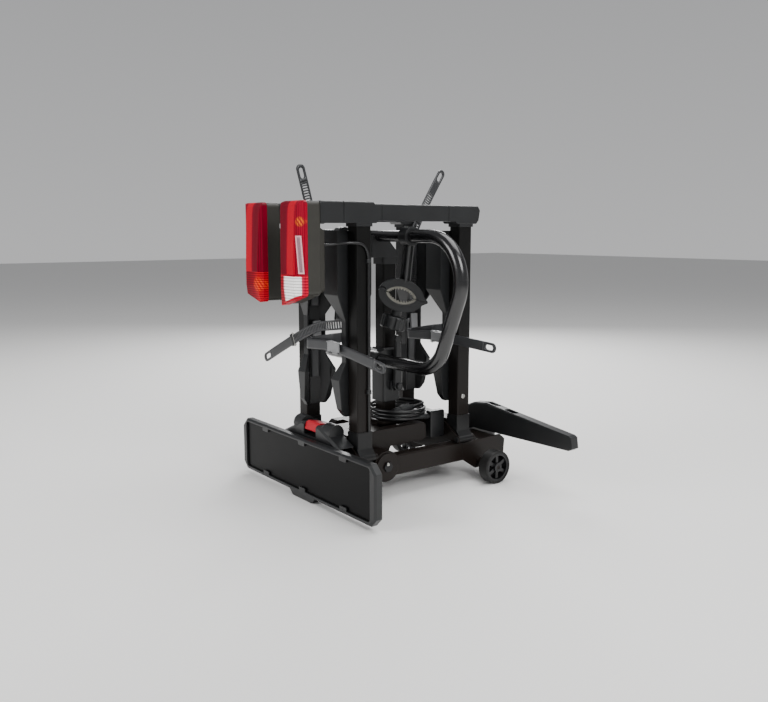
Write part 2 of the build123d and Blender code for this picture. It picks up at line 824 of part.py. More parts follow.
# Wing posts: two box tubes a side, standing in hinge feet and closed by the top bar
post_bottom = foot_low + 12
post_top = bar_low + 15
with BuildPart() as wing_posts:
    for row in post_rows:
        with BuildSketch(Plane.XY.offset(post_bottom)):
            with Locations((post_x, row)):
                RectangleRounded(post_width, post_depth, 3)
                RectangleRounded(post_width - 2 * wall, post_depth - 2 * wall, 1.5, mode=Mode.SUBTRACT)
        extrude(amount=post_top - post_bottom)
save_pair(wing_posts, "wing_posts")

foot_inner_x = post_x - post_width / 2 - wall
foot_outer_x = rail_outer_x + wall
foot_half = post_depth / 2 + wall
with BuildPart() as hinge_feet:
    for row in post_rows:
        with BuildSketch(Plane.XY.offset(foot_low)):
            with Locations(((foot_inner_x + foot_outer_x) / 2, row)):
                RectangleRounded(foot_outer_x - foot_inner_x, 2 * foot_half, 3)
        extrude(amount=foot_top - foot_low)
        # Knuckle on the pin, blended into the outer wall
        with BuildSketch(along(row - foot_half)):
            with Locations((hinge_x, hinge_z)):
                Circle(8)
            with BuildLine():
                Polyline(
                    (foot_outer_x - 2, foot_low), (hinge_x, hinge_z - 8), (hinge_x + 8, hinge_z),
                    (foot_outer_x - 2, hinge_z + 22), close=True,
                )
            make_face()
        extrude(amount=-2 * foot_half)
        with BuildSketch(along(row - foot_half - 1)):
            with Locations((hinge_x, hinge_z)):
                Circle(hinge_pin_radius + running)
        extrude(amount=-2 * foot_half - 2, mode=Mode.SUBTRACT)
        with BuildSketch(Plane.XY.offset(post_bottom)):
            with Locations((post_x, row)):
                RectangleRounded(post_width, post_depth, 3)
        extrude(amount=foot_top - post_bottom, mode=Mode.SUBTRACT)
save_pair(hinge_feet, "hinge_feet")

# Top bar: the end bar of a wing, with a socket for each post
bar_x = (bar_inner_x + bar_outer_x) / 2
bar_width = bar_outer_x - bar_inner_x
socket_drop = 7.0
bar_seams = (29.8, 128.2, 319.4)
with BuildPart() as top_bar:
    with BuildSketch(across(bar_inner_x)):
        with BuildLine():
            Polyline(
                (bar_rear, bar_low),
                (bar_rear, bar_top + 2),
                (bar_rear + 3, bar_top + 4),
                (rear_post_y + 24, bar_top + 4),
                (rear_post_y + 28, bar_top),
                (bar_front - 5, bar_top),
                (bar_front, bar_top - 7),
                (bar_front - 5, bar_low + 8),
                (bar_front - 12, bar_low),
                (front_post_y - 30, bar_low),
                (front_post_y - 36, bar_low + 5),
                (rear_post_y + 36, bar_low + 5),
                (rear_post_y + 30, bar_low),
                close=True,
            )
        make_face()
    extrude(amount=bar_width)
    fillet(top_bar.faces().filter_by(Axis.X).edges().filter_by(lambda e: e.center().Z > bar_top - 8), 4)
    for row in post_rows:
        with BuildSketch(Plane.XY.offset(bar_low - socket_drop)):
            with Locations((post_x, row)):
                RectangleRounded(post_width + 6, post_depth + 6, 3)
        extrude(amount=socket_drop + 1)
        with BuildSketch(Plane.XY.offset(bar_low - socket_drop)):
            with Locations((post_x, row)):
                RectangleRounded(post_width, post_depth, 3)
        extrude(amount=socket_drop + 15, mode=Mode.SUBTRACT)
    # Seams between the bar's mouldings
    for seam in bar_seams:
        with BuildSketch(along(rear + seam - 0.75)):
            with Locations((bar_outer_x, (bar_low + bar_top) / 2)):
                Rectangle(2.4, bar_top - bar_low + 20)
            with Locations((bar_x, bar_top + 3)):
                Rectangle(bar_width + 4, 8.4)
        extrude(amount=-1.5, mode=Mode.SUBTRACT)
save_pair(top_bar, "top_bar")

# Wheel trays: half a wheel trough on the inner side of each post
tray_outer_x = post_x - post_width / 2
tray_inner_x = 32.0
tray_top = ground + 604
ramp_foot = ground + 466
waist_top = ground + 410
waist_low = ground + 318
waist_x = 70.0
spoon_tip = ground + 280
spoon_x = 54.0
tray_low = ground + 198

for row, place in ((rear_post_y, "rear"), (front_post_y, "front")):
    inward = Plane(origin=(tray_outer_x, row, 0), x_dir=(0, -1, 0), z_dir=(-1, 0, 0))
    with BuildPart() as wheel_tray:
        # Outline seen from inside: wide above, then a narrow waist and a spoon
        with BuildSketch(inward):
            with BuildLine():
                Polyline(
                    (0, tray_top), (45, tray_top), (45, ramp_foot), (25, waist_top), (25, waist_low),
                    (43, spoon_tip), (37, tray_low + 16), (26, tray_low), (0, tray_low),
                )
                mirror(about=Plane.YZ)
            make_face()
        extrude(amount=tray_outer_x - tray_inner_x)
        # Depth: a ramp down to the shallow waist, then the pointed spoon
        with BuildSketch(along(row - 60)):
            with BuildLine():
                Polyline(
                    (0, tray_top + 5), (tray_inner_x, tray_top + 5), (tray_inner_x, ramp_foot),
                    (waist_x, waist_top), (waist_x, waist_low), (spoon_x, spoon_tip),
                    (spoon_x + 16, tray_low + 6), (tray_outer_x - 8, tray_low - 10),
                    (0, tray_low - 10), close=True,
                )
            make_face()
        extrude(amount=-120, mode=Mode.SUBTRACT)
        # Groove for the tyre
        with BuildSketch(Plane.XY.offset(tray_low - 10)):
            with BuildLine():
                Polyline(
                    (tray_inner_x - 2, row - 36), (tray_outer_x - 26, row - 30),
                    (tray_outer_x - 7, row - 14), (tray_outer_x - 7, row + 14),
                    (tray_outer_x - 26, row + 30), (tray_inner_x - 2, row + 36), close=True,
                )
            make_face()
        extrude(amount=tray_top - tray_low + 20, mode=Mode.SUBTRACT)
        # Pairs of slanted grip ribs across the groove
        for level in (ground + 500, ground + 545, ground + 590):
            for step in (0, 12):
                with BuildSketch(inward):
                    with Locations(Location((0, level - step), 12)):
                        Rectangle(34, 3.5)
                extrude(amount=11)
    save_pair(wheel_tray, f"tray_{place}")

# Lamps: a housing on the rear end of each top bar, a red lens over it and a second lens below
lamp_low = ground + 446
lamp_top = ground + 665
lamp_split = ground + 515
lamp_inner_x = 39.0
lamp_outer_x = 125.0
lamp_slope = 24.0
lamp_corner = 9.0
lens_back = bar_rear - 31
lens_depth = 21.0
facet_x = 102.0
facet_depth = 7.0
with BuildPart() as lamp_housing:
    with BuildSketch(along(lens_back)) as housing_outline:
        with BuildLine():
            Polyline(
                (lamp_inner_x + 1, lamp_low + 2), (lamp_outer_x - 1, lamp_low + lamp_slope + 4),
                (lamp_outer_x - 1, lamp_top - 1), (lamp_inner_x + 1, lamp_top - 1), close=True,
            )
        make_face()
        fillet(housing_outline.vertices(), radius=lamp_corner)
    extrude(amount=lens_back - bar_rear)
    # Raised back below the top bar
    with BuildSketch(along(bar_rear)):
        with BuildLine():
            Polyline(
                (lamp_inner_x + 2, lamp_low + 5), (lamp_outer_x - 6, lamp_low + lamp_slope + 5),
                (lamp_outer_x - 2, lamp_low + lamp_slope + 12), (lamp_outer_x - 2, bar_low - 10),
                (lamp_inner_x + 2, bar_low - 10), close=True,
            )
        make_face()
    extrude(amount=-14, taper=22)
save_pair(lamp_housing, "lamp_housing")

for name, low, high in (("lens_red", lamp_split, lamp_top), ("lens_lower", lamp_low, lamp_split)):
    with BuildPart() as lens:
        with BuildSketch(along(lens_back - lens_depth)) as lens_outline:
            with BuildLine():
                Polyline(
                    (lamp_inner_x, lamp_low), (lamp_outer_x, lamp_low + lamp_slope + 2),
                    (lamp_outer_x, lamp_top), (lamp_inner_x, lamp_top), close=True,
                )
            make_face()
            fillet(lens_outline.vertices(), radius=lamp_corner)
        extrude(amount=-lens_depth)
        # Front face: deepest near the split, shallower above and below
        with BuildSketch(across(0)):
            with BuildLine():
                Polyline(
                    (lens_back - lens_depth + 17, lamp_top + 1),
                    (lens_back - lens_depth + 10, lamp_top - 3),
                    (lens_back - lens_depth + 6, lamp_top - 10),
                    (lens_back - lens_depth + 4, lamp_top - 24),
                    (lens_back - lens_depth, lamp_split + 20),
                    (lens_back - lens_depth, lamp_split - 30),
                    (lens_back - lens_depth + 5, lamp_low - 1),
                    (lens_back - 50, lamp_low - 1), (lens_back - 50, lamp_top + 1), close=True,
                )
            make_face()
        extrude(amount=lamp_outer_x + 10, mode=Mode.SUBTRACT)
        # Broad facet at the outer front corner
        with BuildSketch(Plane.XY.offset(lamp_low - 1)):
            with BuildLine():
                Polyline(
                    (facet_x, lens_back - lens_depth + 3), (lamp_outer_x + 0.1, lens_back - facet_depth),
                    (lamp_outer_x + 20, lens_back - 40), (facet_x, lens_back - 40), close=True,
                )
            make_face()
            # Narrow one at the inner corner
            with BuildLine():
                Polyline(
                    (lamp_inner_x - 0.1, lens_back - lens_depth + 10),
                    (lamp_inner_x + 12, lens_back - lens_depth - 0.1),
                    (lamp_inner_x - 0.1, lens_back - lens_depth - 0.1), close=True,
                )
            make_face()
        extrude(amount=lamp_top - lamp_low + 2, mode=Mode.SUBTRACT)
        with BuildSketch(across(0)):
            with Locations((lens_back - 25, (low + high) / 2)):
                Rectangle(60, high - low)
        extrude(amount=lamp_outer_x + 10, mode=Mode.INTERSECT)
    save_pair(lens, name)

# Straps: bands of 22 by 3 mm. Each run is bent in plan view and again in elevation
strap_width = 22.0
strap_thick = 3.0


def strap_run(plan, plan_bends, elevation, elevation_bends):
    """One run of a strap: plan holds (x, distance), elevation holds (x, height)."""
    with BuildPart() as run:
        with BuildSketch(Plane.XY.offset(ground)):
            with BuildLine():
                FilletPolyline(*[(x, rear + d) for x, d in plan], radius=plan_bends)
            trace(line_width=strap_thick)
        extrude(amount=800)
        with BuildSketch(along(rear - 60)):
            with BuildLine():
                FilletPolyline(*[(x, ground + h) for x, h in elevation], radius=elevation_bends)
            trace(line_width=strap_width)
        extrude(amount=-700, mode=Mode.INTERSECT)
    return run.part


# Ratchet buckles, drawn on the strap: x along it, y across it, z away from its face
lever_axis_u = -8.0
lever_axis_w = 9.0
lever_pin_radius = 1.5


def buckle_frame(place, back):
    """Sleeve round the strap with two ears and the pin of the lever."""
    with BuildPart() as frame:
        with BuildSketch(place.offset(-back)):
            RectangleRounded(34, 26, 3)
        extrude(amount=back + 4.6)
        side_on = Plane(origin=place.origin, x_dir=place.x_dir, z_dir=-place.y_dir)
        for end in (-11.75, 11.75):
            with BuildSketch(side_on.offset(end)):
                with BuildLine():
                    Polyline(
                        (lever_axis_u - 5, 4), (lever_axis_u - 3, lever_axis_w + 3),
                        (lever_axis_u + 3, lever_axis_w + 3), (lever_axis_u + 5, 4), close=True,
                    )
                make_face()
            extrude(amount=1.25, both=True)
        with BuildSketch(side_on):
            with Locations((lever_axis_u, lever_axis_w)):
                Circle(lever_pin_radius)
        extrude(amount=12, both=True)
    return frame.part


def buckle_lever(place):
    """Lever of a buckle with the bore for its pin."""
    side_on = Plane(origin=place.origin, x_dir=place.x_dir, z_dir=-place.y_dir)
    with BuildPart() as lever:
        with BuildSketch(side_on):
            with Locations((lever_axis_u, lever_axis_w)):
                Circle(4)
            with BuildLine():
                Polyline(
                    (lever_axis_u, 6), (20, 6), (30, 8), (30, 11), (20, 11),
                    (lever_axis_u, 12.5), close=True,
                )
            make_face()
            with Locations((lever_axis_u, lever_axis_w)):
                Circle(lever_pin_radius + running, mode=Mode.SUBTRACT)
        extrude(amount=10, both=True)
    return lever


# Buckle straps of the right wing: out of the tray, round a tight turn and back past the post
turn_x = -16.0
turn_radius = 8.0
buckle_x = 92.0
tip_places = ((262.0, 332.0), (274.0, 350.0))
right_buckles = []
with BuildPart() as buckle_straps_right:
    for row, (tip_x, tip_h) in zip((83.5, 375.5), tip_places):
        out_d = row - 41.5
        back_d = out_d - 2 * turn_radius
        add(strap_run(
            [
                (78.2, row - 11.6), (66, row - 23.3), (52, out_d), (turn_x - turn_radius, out_d),
                (turn_x - turn_radius, back_d), (0, back_d),
            ],
            [20, 10, turn_radius - 0.2, turn_radius - 0.2],
            [(90, 377), (20, 363), (-60, 349)], 200,
        ))
        add(strap_run(
            [(-8, back_d), (buckle_x, back_d), (tip_x + 14, back_d - 3)], 300,
            [(-60, 349), (buckle_x, 360), (tip_x + 14, tip_h)], 200,
        ))
        on_strap = (buckle_x, rear + back_d, ground + 358.5)
        place = Plane(origin=on_strap, x_dir=(1, 0, 0), z_dir=(0, -1, 0))
        right_buckles.append(place)
        add(buckle_frame(place, 5))
        # Hole in the pull tab at the end
        with BuildSketch(along(rear + back_d - 20)):
            droop = degrees(atan2(tip_h - 360, tip_x - buckle_x))
            with Locations(Location((tip_x, ground + tip_h + 2.5), droop)):
                SlotOverall(24, 11)
        extrude(amount=-40, mode=Mode.SUBTRACT)
save(buckle_straps_right, "buckle_straps_right")

# The left wing is empty: its buckle straps lie short along the grooves of their trays
groove_x = tray_outer_x - 7
left_buckles = []
with BuildPart() as buckle_straps_left:
    for row in post_rows:
        with BuildSketch(across(-groove_x)):
            with Locations((row, ground + 317)):
                RectangleRounded(strap_width, 110, 4)
        extrude(amount=strap_thick)
        on_strap = (strap_thick / 2 - groove_x, row, ground + 366)
        place = Plane(origin=on_strap, x_dir=(0, 0, 1), z_dir=(1, 0, 0))
        left_buckles.append(place)
        add(buckle_frame(place, strap_thick / 2))
save(buckle_straps_left, "buckle_straps_left")

for hand, places in (("right", right_buckles), ("left", left_buckles)):
    for row_name, place in zip(("rear", "front"), places):
        save(buckle_lever(place), f"buckle_lever_{row_name}_{hand}")

# Ladder straps: the right rear one reaches out behind the carrier, the others stand in their grooves
tail_slope = degrees(atan2(59, 127))
with BuildPart() as ladder_strap_rear_right:
    add(strap_run(
        [(78.2, 71.9), (48, 43), (-20, 36), (-230, 33)], [12, 200],
        [(90, 403), (5, 393), (-98, 353), (-225, 294)], [260, 260],
    ))
    with BuildSketch(along(rear + 10)):
        with Locations(Location((-206, ground + 303), tail_slope)):
            SlotOverall(24, 11)
    extrude(amount=-50, mode=Mode.SUBTRACT)
    # Keeper ring
    with BuildSketch(along(rear + 31)):
        with Locations(Location((-98, ground + 353), tail_slope)):
            RectangleRounded(9, 28, 2)
    extrude(amount=-6.5)
save(ladder_strap_rear_right, "ladder_strap_rear_right")

rest_x = groove_x - strap_thick / 2 - 4.2


def standing_strap(x, points, bend):
    """A ladder strap on edge to the row: points hold (distance, height), the eye is near the last one."""
    (row, foot), (last_d, last_h) = points[0], points[-1]
    rise = atan2(last_h - points[-2][1], last_d - points[-2][0])
    with BuildPart() as strap:
        with BuildSketch(across(x - strap_thick / 2)):
            with BuildLine():
                FilletPolyline(*[(rear + d, ground + h) for d, h in points], radius=bend)
            trace(line_width=strap_width)
            eye = (rear + last_d - 20 * cos(rise), ground + last_h - 20 * sin(rise))
            with Locations(Location(eye, degrees(rise))):
                SlotOverall(24, 11, mode=Mode.SUBTRACT)
        extrude(amount=strap_thick)
        # Root that is riveted to the bottom of the groove
        with BuildSketch(across(x)):
            with Locations((rear + row, ground + foot + 10)):
                Rectangle(strap_width, 20)
        extrude(amount=(groove_x - abs(x)) * (1 if x > 0 else -1))
    return strap


save(standing_strap(rest_x, [(375.5, 440), (375.5, 520), (379, 606)], 300), "ladder_strap_front_right")
with BuildPart() as ladder_straps_left:
    add(standing_strap(-rest_x, [(83.5, 440), (83.5, 615), (46, 748)], 120))
    add(standing_strap(-rest_x, [(375.5, 440), (375.5, 612), (470, 752)], 90))
save(ladder_straps_left, "ladder_straps_left")

# Lamp cable: out of the lamp's back, round the rear post and down its outer face to the foot
cable_radius = 3.0
cable_x = rail_outer_x + cable_radius
cable_bends = (12, 16, 16)
with BuildPart() as lamp_cable:
    with BuildLine() as cable_route:
        FilletPolyline(
            (98, bar_rear + 14, ground + 575),
            (98, rear + 14, ground + 575),
            (126, rear + 46, ground + 580),
            (cable_x, rear + 93, ground + 574),
            (cable_x, rear + 93, foot_top),
            radius=cable_bends,
        )
    with BuildSketch(Plane(origin=cable_route.line @ 0, z_dir=cable_route.line % 0)):
        Circle(cable_radius)
    sweep()
save_pair(lamp_cable, "lamp_cable")
print("lamp cable length and bend radii", cable_route.wire().length, cable_bends)

# Junction box of the wiring beside the front post, with the gland of the lead
box_rear = rear + 306
box_front = front_post_y - cheek_gap - cheek_thickness
lead_x = 72.0
lead_z = ground + 163.5
with BuildPart() as junction_box:
    with BuildSketch(Plane.XY.offset(ground + 112)):
        with Locations((lead_x + 1, (box_rear + box_front) / 2)):
            RectangleRounded(20, box_front - box_rear, 4)
    extrude(amount=64)
    chamfer(junction_box.faces().sort_by(Axis.Z)[-1].edges(), 3)
    with BuildSketch(along(box_rear)):
        with Locations((lead_x, lead_z)):
            Circle(lead_radius + 3)
    extrude(amount=8)
save(junction_box, "junction_box")

# Lead: a straight run out of the gland, then loops round the foot of the mast
coil_x = 6.0
coil_y = rear + 262
gland_y = box_rear - 8
quarters = 11
tail_bend = 32.0
tail_drop = 3.0


def coil_point(quarter):
    """Point of the winding after so many quarter turns, clockwise from the +X side."""
    angle = -quarter * pi / 2
    return Vector(
        coil_x + coil_radius * cos(angle),
        coil_y + coil_radius * sin(angle),
        lead_z + coil_pitch * quarter / 4,
    )


def coil_heading(quarter):
    """Direction of the winding at the same place, level at its start."""
    angle = -quarter * pi / 2
    slope = coil_pitch / (2 * pi * coil_radius) if quarter else 0
    return Vector(sin(angle), -cos(angle), slope).normalized()


def arcs_meet(start, start_heading, end, end_heading):
    """Place where two arcs meet that leave and reach the given headings."""
    chord = end - start
    a = 2 * (1 - start_heading.dot(end_heading))
    b = 2 * chord.dot(start_heading + end_heading)
    reach = (-b + (b * b + 4 * a * chord.dot(chord)) ** 0.5) / (2 * a)
    return (start + start_heading * reach + end - end_heading * reach) * 0.5


plug_tilt = radians(8.5)
plug_heading = Vector(0, -cos(plug_tilt), -sin(plug_tilt))
stops = [coil_point(quarter) for quarter in range(quarters + 1)]
headings = [coil_heading(quarter) for quarter in range(quarters + 1)]
stops.append(stops[-1] + Vector(tail_bend, -tail_bend, -tail_drop))
headings.append(plug_heading)
straight = 2 * lead_radius
coil_start = stops[0] + Vector(0, straight, 0)
plug_start = stops[-1] + plug_heading * straight
with BuildPart() as lead_coil:
    with BuildLine() as winding:
        Line(coil_start, stops[0])
        for here, there, leaving, reaching in zip(stops, stops[1:], headings, headings[1:]):
            middle = arcs_meet(here, leaving, there, reaching)
            first = TangentArc(here, middle, tangent=leaving)
            TangentArc(middle, there, tangent=first % 1)
        Line(stops[-1], plug_start)
    with BuildSketch(Plane(origin=coil_start, z_dir=(0, -1, 0))):
        Circle(lead_radius)
    sweep()
save(lead_coil, "lead_coil")

# Least distance of the winding to itself, half a turn or more apart along it
winding_wire = winding.wire()
winding_length = winding_wire.length
places = [winding_wire @ (step / 700) for step in range(701)]
least = min(
    (there - here).length
    for first_step, here in enumerate(places)
    for there in places[first_step + round(700 * pi * coil_radius / winding_length):]
)
swept = lead_coil.part.volume / (pi * lead_radius**2)
print("coil volume over section, and length", swept, winding_length)
print("coil gap to itself", least - 2 * lead_radius, "bend radii", coil_radius, tail_bend)

with BuildPart() as lead_run:
    with BuildSketch(along(coil_start.Y)):
        with Locations((lead_x, lead_z)):
            Circle(lead_radius)
    extrude(amount=coil_start.Y - gland_y)
save(lead_run, "lead_run")

# Plug with a narrow neck, a grip and a shouldered nose
with BuildPart() as lead_plug:
    with BuildSketch(Plane(origin=plug_start, x_dir=plug_heading, z_dir=(1, 0, 0))):
        with BuildLine():
            Polyline(
                (0, 0), (0, 6), (10, 8), (14, 12.5), (42, 12.5), (42, 11), (60, 11), (60, 0), close=True,
            )
        make_face()
    revolve(axis=Axis(plug_start, plug_heading))
save(lead_plug, "lead_plug")
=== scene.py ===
"""A tow ball bicycle carrier, folded up and standing on its wheels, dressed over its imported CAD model."""

from bisect import bisect
from math import cos, pi, radians, sin

import bmesh
import bpy
from bpy.props import FloatProperty, FloatVectorProperty, IntProperty, PointerProperty
from mathutils import Matrix, Vector


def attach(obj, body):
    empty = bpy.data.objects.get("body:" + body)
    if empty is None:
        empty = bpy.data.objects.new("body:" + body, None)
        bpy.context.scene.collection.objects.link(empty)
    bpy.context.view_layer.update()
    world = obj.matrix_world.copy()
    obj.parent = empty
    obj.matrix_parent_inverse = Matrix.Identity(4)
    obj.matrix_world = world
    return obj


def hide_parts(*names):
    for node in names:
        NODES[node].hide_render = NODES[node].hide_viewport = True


bl_info = {
    "name": "Tow ball bicycle carrier",
    "version": (1, 0, 0),
    "blender": (4, 5, 0),
    "location": "View3D > Sidebar > Carrier",
    "description": "Dresses the folded carrier's frame and lights it in a plain studio",
    "category": "Object",
}

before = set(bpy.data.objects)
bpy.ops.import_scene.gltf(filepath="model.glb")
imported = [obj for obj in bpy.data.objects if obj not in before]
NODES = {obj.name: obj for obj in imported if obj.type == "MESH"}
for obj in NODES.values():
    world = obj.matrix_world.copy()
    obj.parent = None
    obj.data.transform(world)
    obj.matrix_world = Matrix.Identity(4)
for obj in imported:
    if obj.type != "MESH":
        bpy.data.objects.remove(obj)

# Height of the ground and place of the carrier's rear in the shared frame, in metres
GROUND = -0.082
REAR = -0.558
# Middle of each row of wheel trays, in millimetres forward of the rear
ROWS = {"rear": 83.5, "front": 375.5}
SIDES = {"right": 1, "left": -1}
RIGHT, FORWARD, UP = Vector((1, 0, 0)), Vector((0, 1, 0)), Vector((0, 0, 1))

# The lenses of a lamp in millimetres: their sides from the middle, the height of the seam between them,
# that of the lower edge at its inner end, and how far the edge climbs in each millimetre outwards
LENS_INNER, LENS_OUTER = 39, 125
LENS_SEAM = 511
LENS_FOOT, LENS_CLIMB = 446, 0.296

# Diameter of a lamp's cable and thickness of a strap, in metres
LAMP_CABLE = 0.006
STRAP_THICKNESS = 0.0028

# A Mix node's sockets for colours, which share their names with those for numbers
FACTOR, FIRST, SECOND, MIXED = 0, 6, 7, 2
# A wave texture of scale 1 repeats this many times in a metre
WAVES_PER_METRE = 3.18


def spot(x, distance, height):
    """A point from millimetres right of the middle, forward of the rear and above the ground."""
    return Vector((x / 1000, REAR + distance / 1000, GROUND + height / 1000))


def srgb(code):
    """Linear colour with alpha from an sRGB hex value."""
    channels = [(code >> shift & 255) / 255 for shift in (16, 8, 0)]
    return [c / 12.92 if c <= 0.04045 else ((c + 0.055) / 1.055) ** 2.4 for c in channels] + [1.0]


def add_node(tree, kind, sockets=None, **fields):
    """Adds a shader node, sets its fields, and sets or links its sockets by name or number."""
    made = tree.nodes.new(kind)
    for field, value in fields.items():
        setattr(made, field, value)
    for key, value in (sockets or {}).items():
        if isinstance(value, bpy.types.NodeSocket):
            tree.links.new(value, made.inputs[key])
        else:
            made.inputs[key].default_value = value
    return made


def new_material(name):
    """A new material with an empty tree."""
    material = bpy.data.materials.new(name)
    material.use_nodes = True
    material.node_tree.nodes.clear()
    return material, material.node_tree


def textured_surface(
    name, dark, light, rough, metal=0.0, grain_mm=1.0, grain_depth=0.1, patch_mm=60.0, coat=0.0,
    edge_mm=1.0, painted_floor_reflection=None, sheen=0.5,
):
    """Surface with patches between two colours, uneven gloss, a fine grain and softened edges.

    grain_mm, patch_mm and edge_mm are the sizes of one grain, one patch and an edge's rounding.
    painted_floor_reflection is a tint at the foot, a painted reflection of light from the floor, with the
    height where it has faded out. The IOR stays at the shader's 1.5, which is near that of each of these
    paints, plastics and rubbers.
    """
    material, tree = new_material(name)
    place = add_node(tree, "ShaderNodeTexCoord").outputs["Object"]
    patches = add_node(
        tree, "ShaderNodeTexNoise",
        {"Vector": place, "Scale": 1000 / patch_mm, "Detail": 4.0, "Roughness": 0.6}).outputs["Fac"]
    colour = add_node(
        tree, "ShaderNodeMix", {FACTOR: patches, FIRST: srgb(dark), SECOND: srgb(light)},
        data_type="RGBA").outputs[MIXED]
    # Painted reflection: towards the ground the colour turns to the tint, for light thrown up from the floor
    if painted_floor_reflection:
        tint, reach = painted_floor_reflection
        split = add_node(tree, "ShaderNodeSeparateXYZ", {"Vector": place})
        height = add_node(
            tree, "ShaderNodeMapRange",
            {"Value": split.outputs["Z"], "From Min": GROUND + 0.05, "From Max": GROUND + reach})
        colour = add_node(
            tree, "ShaderNodeMix", {FACTOR: height.outputs["Result"], FIRST: srgb(tint), SECOND: colour},
            data_type="RGBA").outputs[MIXED]
    gloss = add_node(
        tree, "ShaderNodeMapRange", {"Value": patches, "To Min": rough - 0.06, "To Max": rough + 0.06})
    grain = add_node(
        tree, "ShaderNodeTexNoise",
        {"Vector": place, "Scale": 1000 / grain_mm, "Detail": 2.0, "Roughness": 0.5})
    rounded = add_node(tree, "ShaderNodeBevel", {"Radius": edge_mm / 1000}, samples=4)
    bump = add_node(
        tree, "ShaderNodeBump",
        {"Height": grain.outputs["Fac"], "Normal": rounded.outputs["Normal"], "Strength": grain_depth,
         "Distance": grain_mm / 4000})
    shader = add_node(
        tree, "ShaderNodeBsdfPrincipled",
        {"Base Color": colour, "Roughness": gloss.outputs["Result"], "Normal": bump.outputs["Normal"],
         "Metallic": metal, "Specular IOR Level": sheen, "Coat Weight": coat, "Coat Roughness": 0.08})
    add_node(tree, "ShaderNodeOutputMaterial", {"Surface": shader.outputs["BSDF"]})
    return material


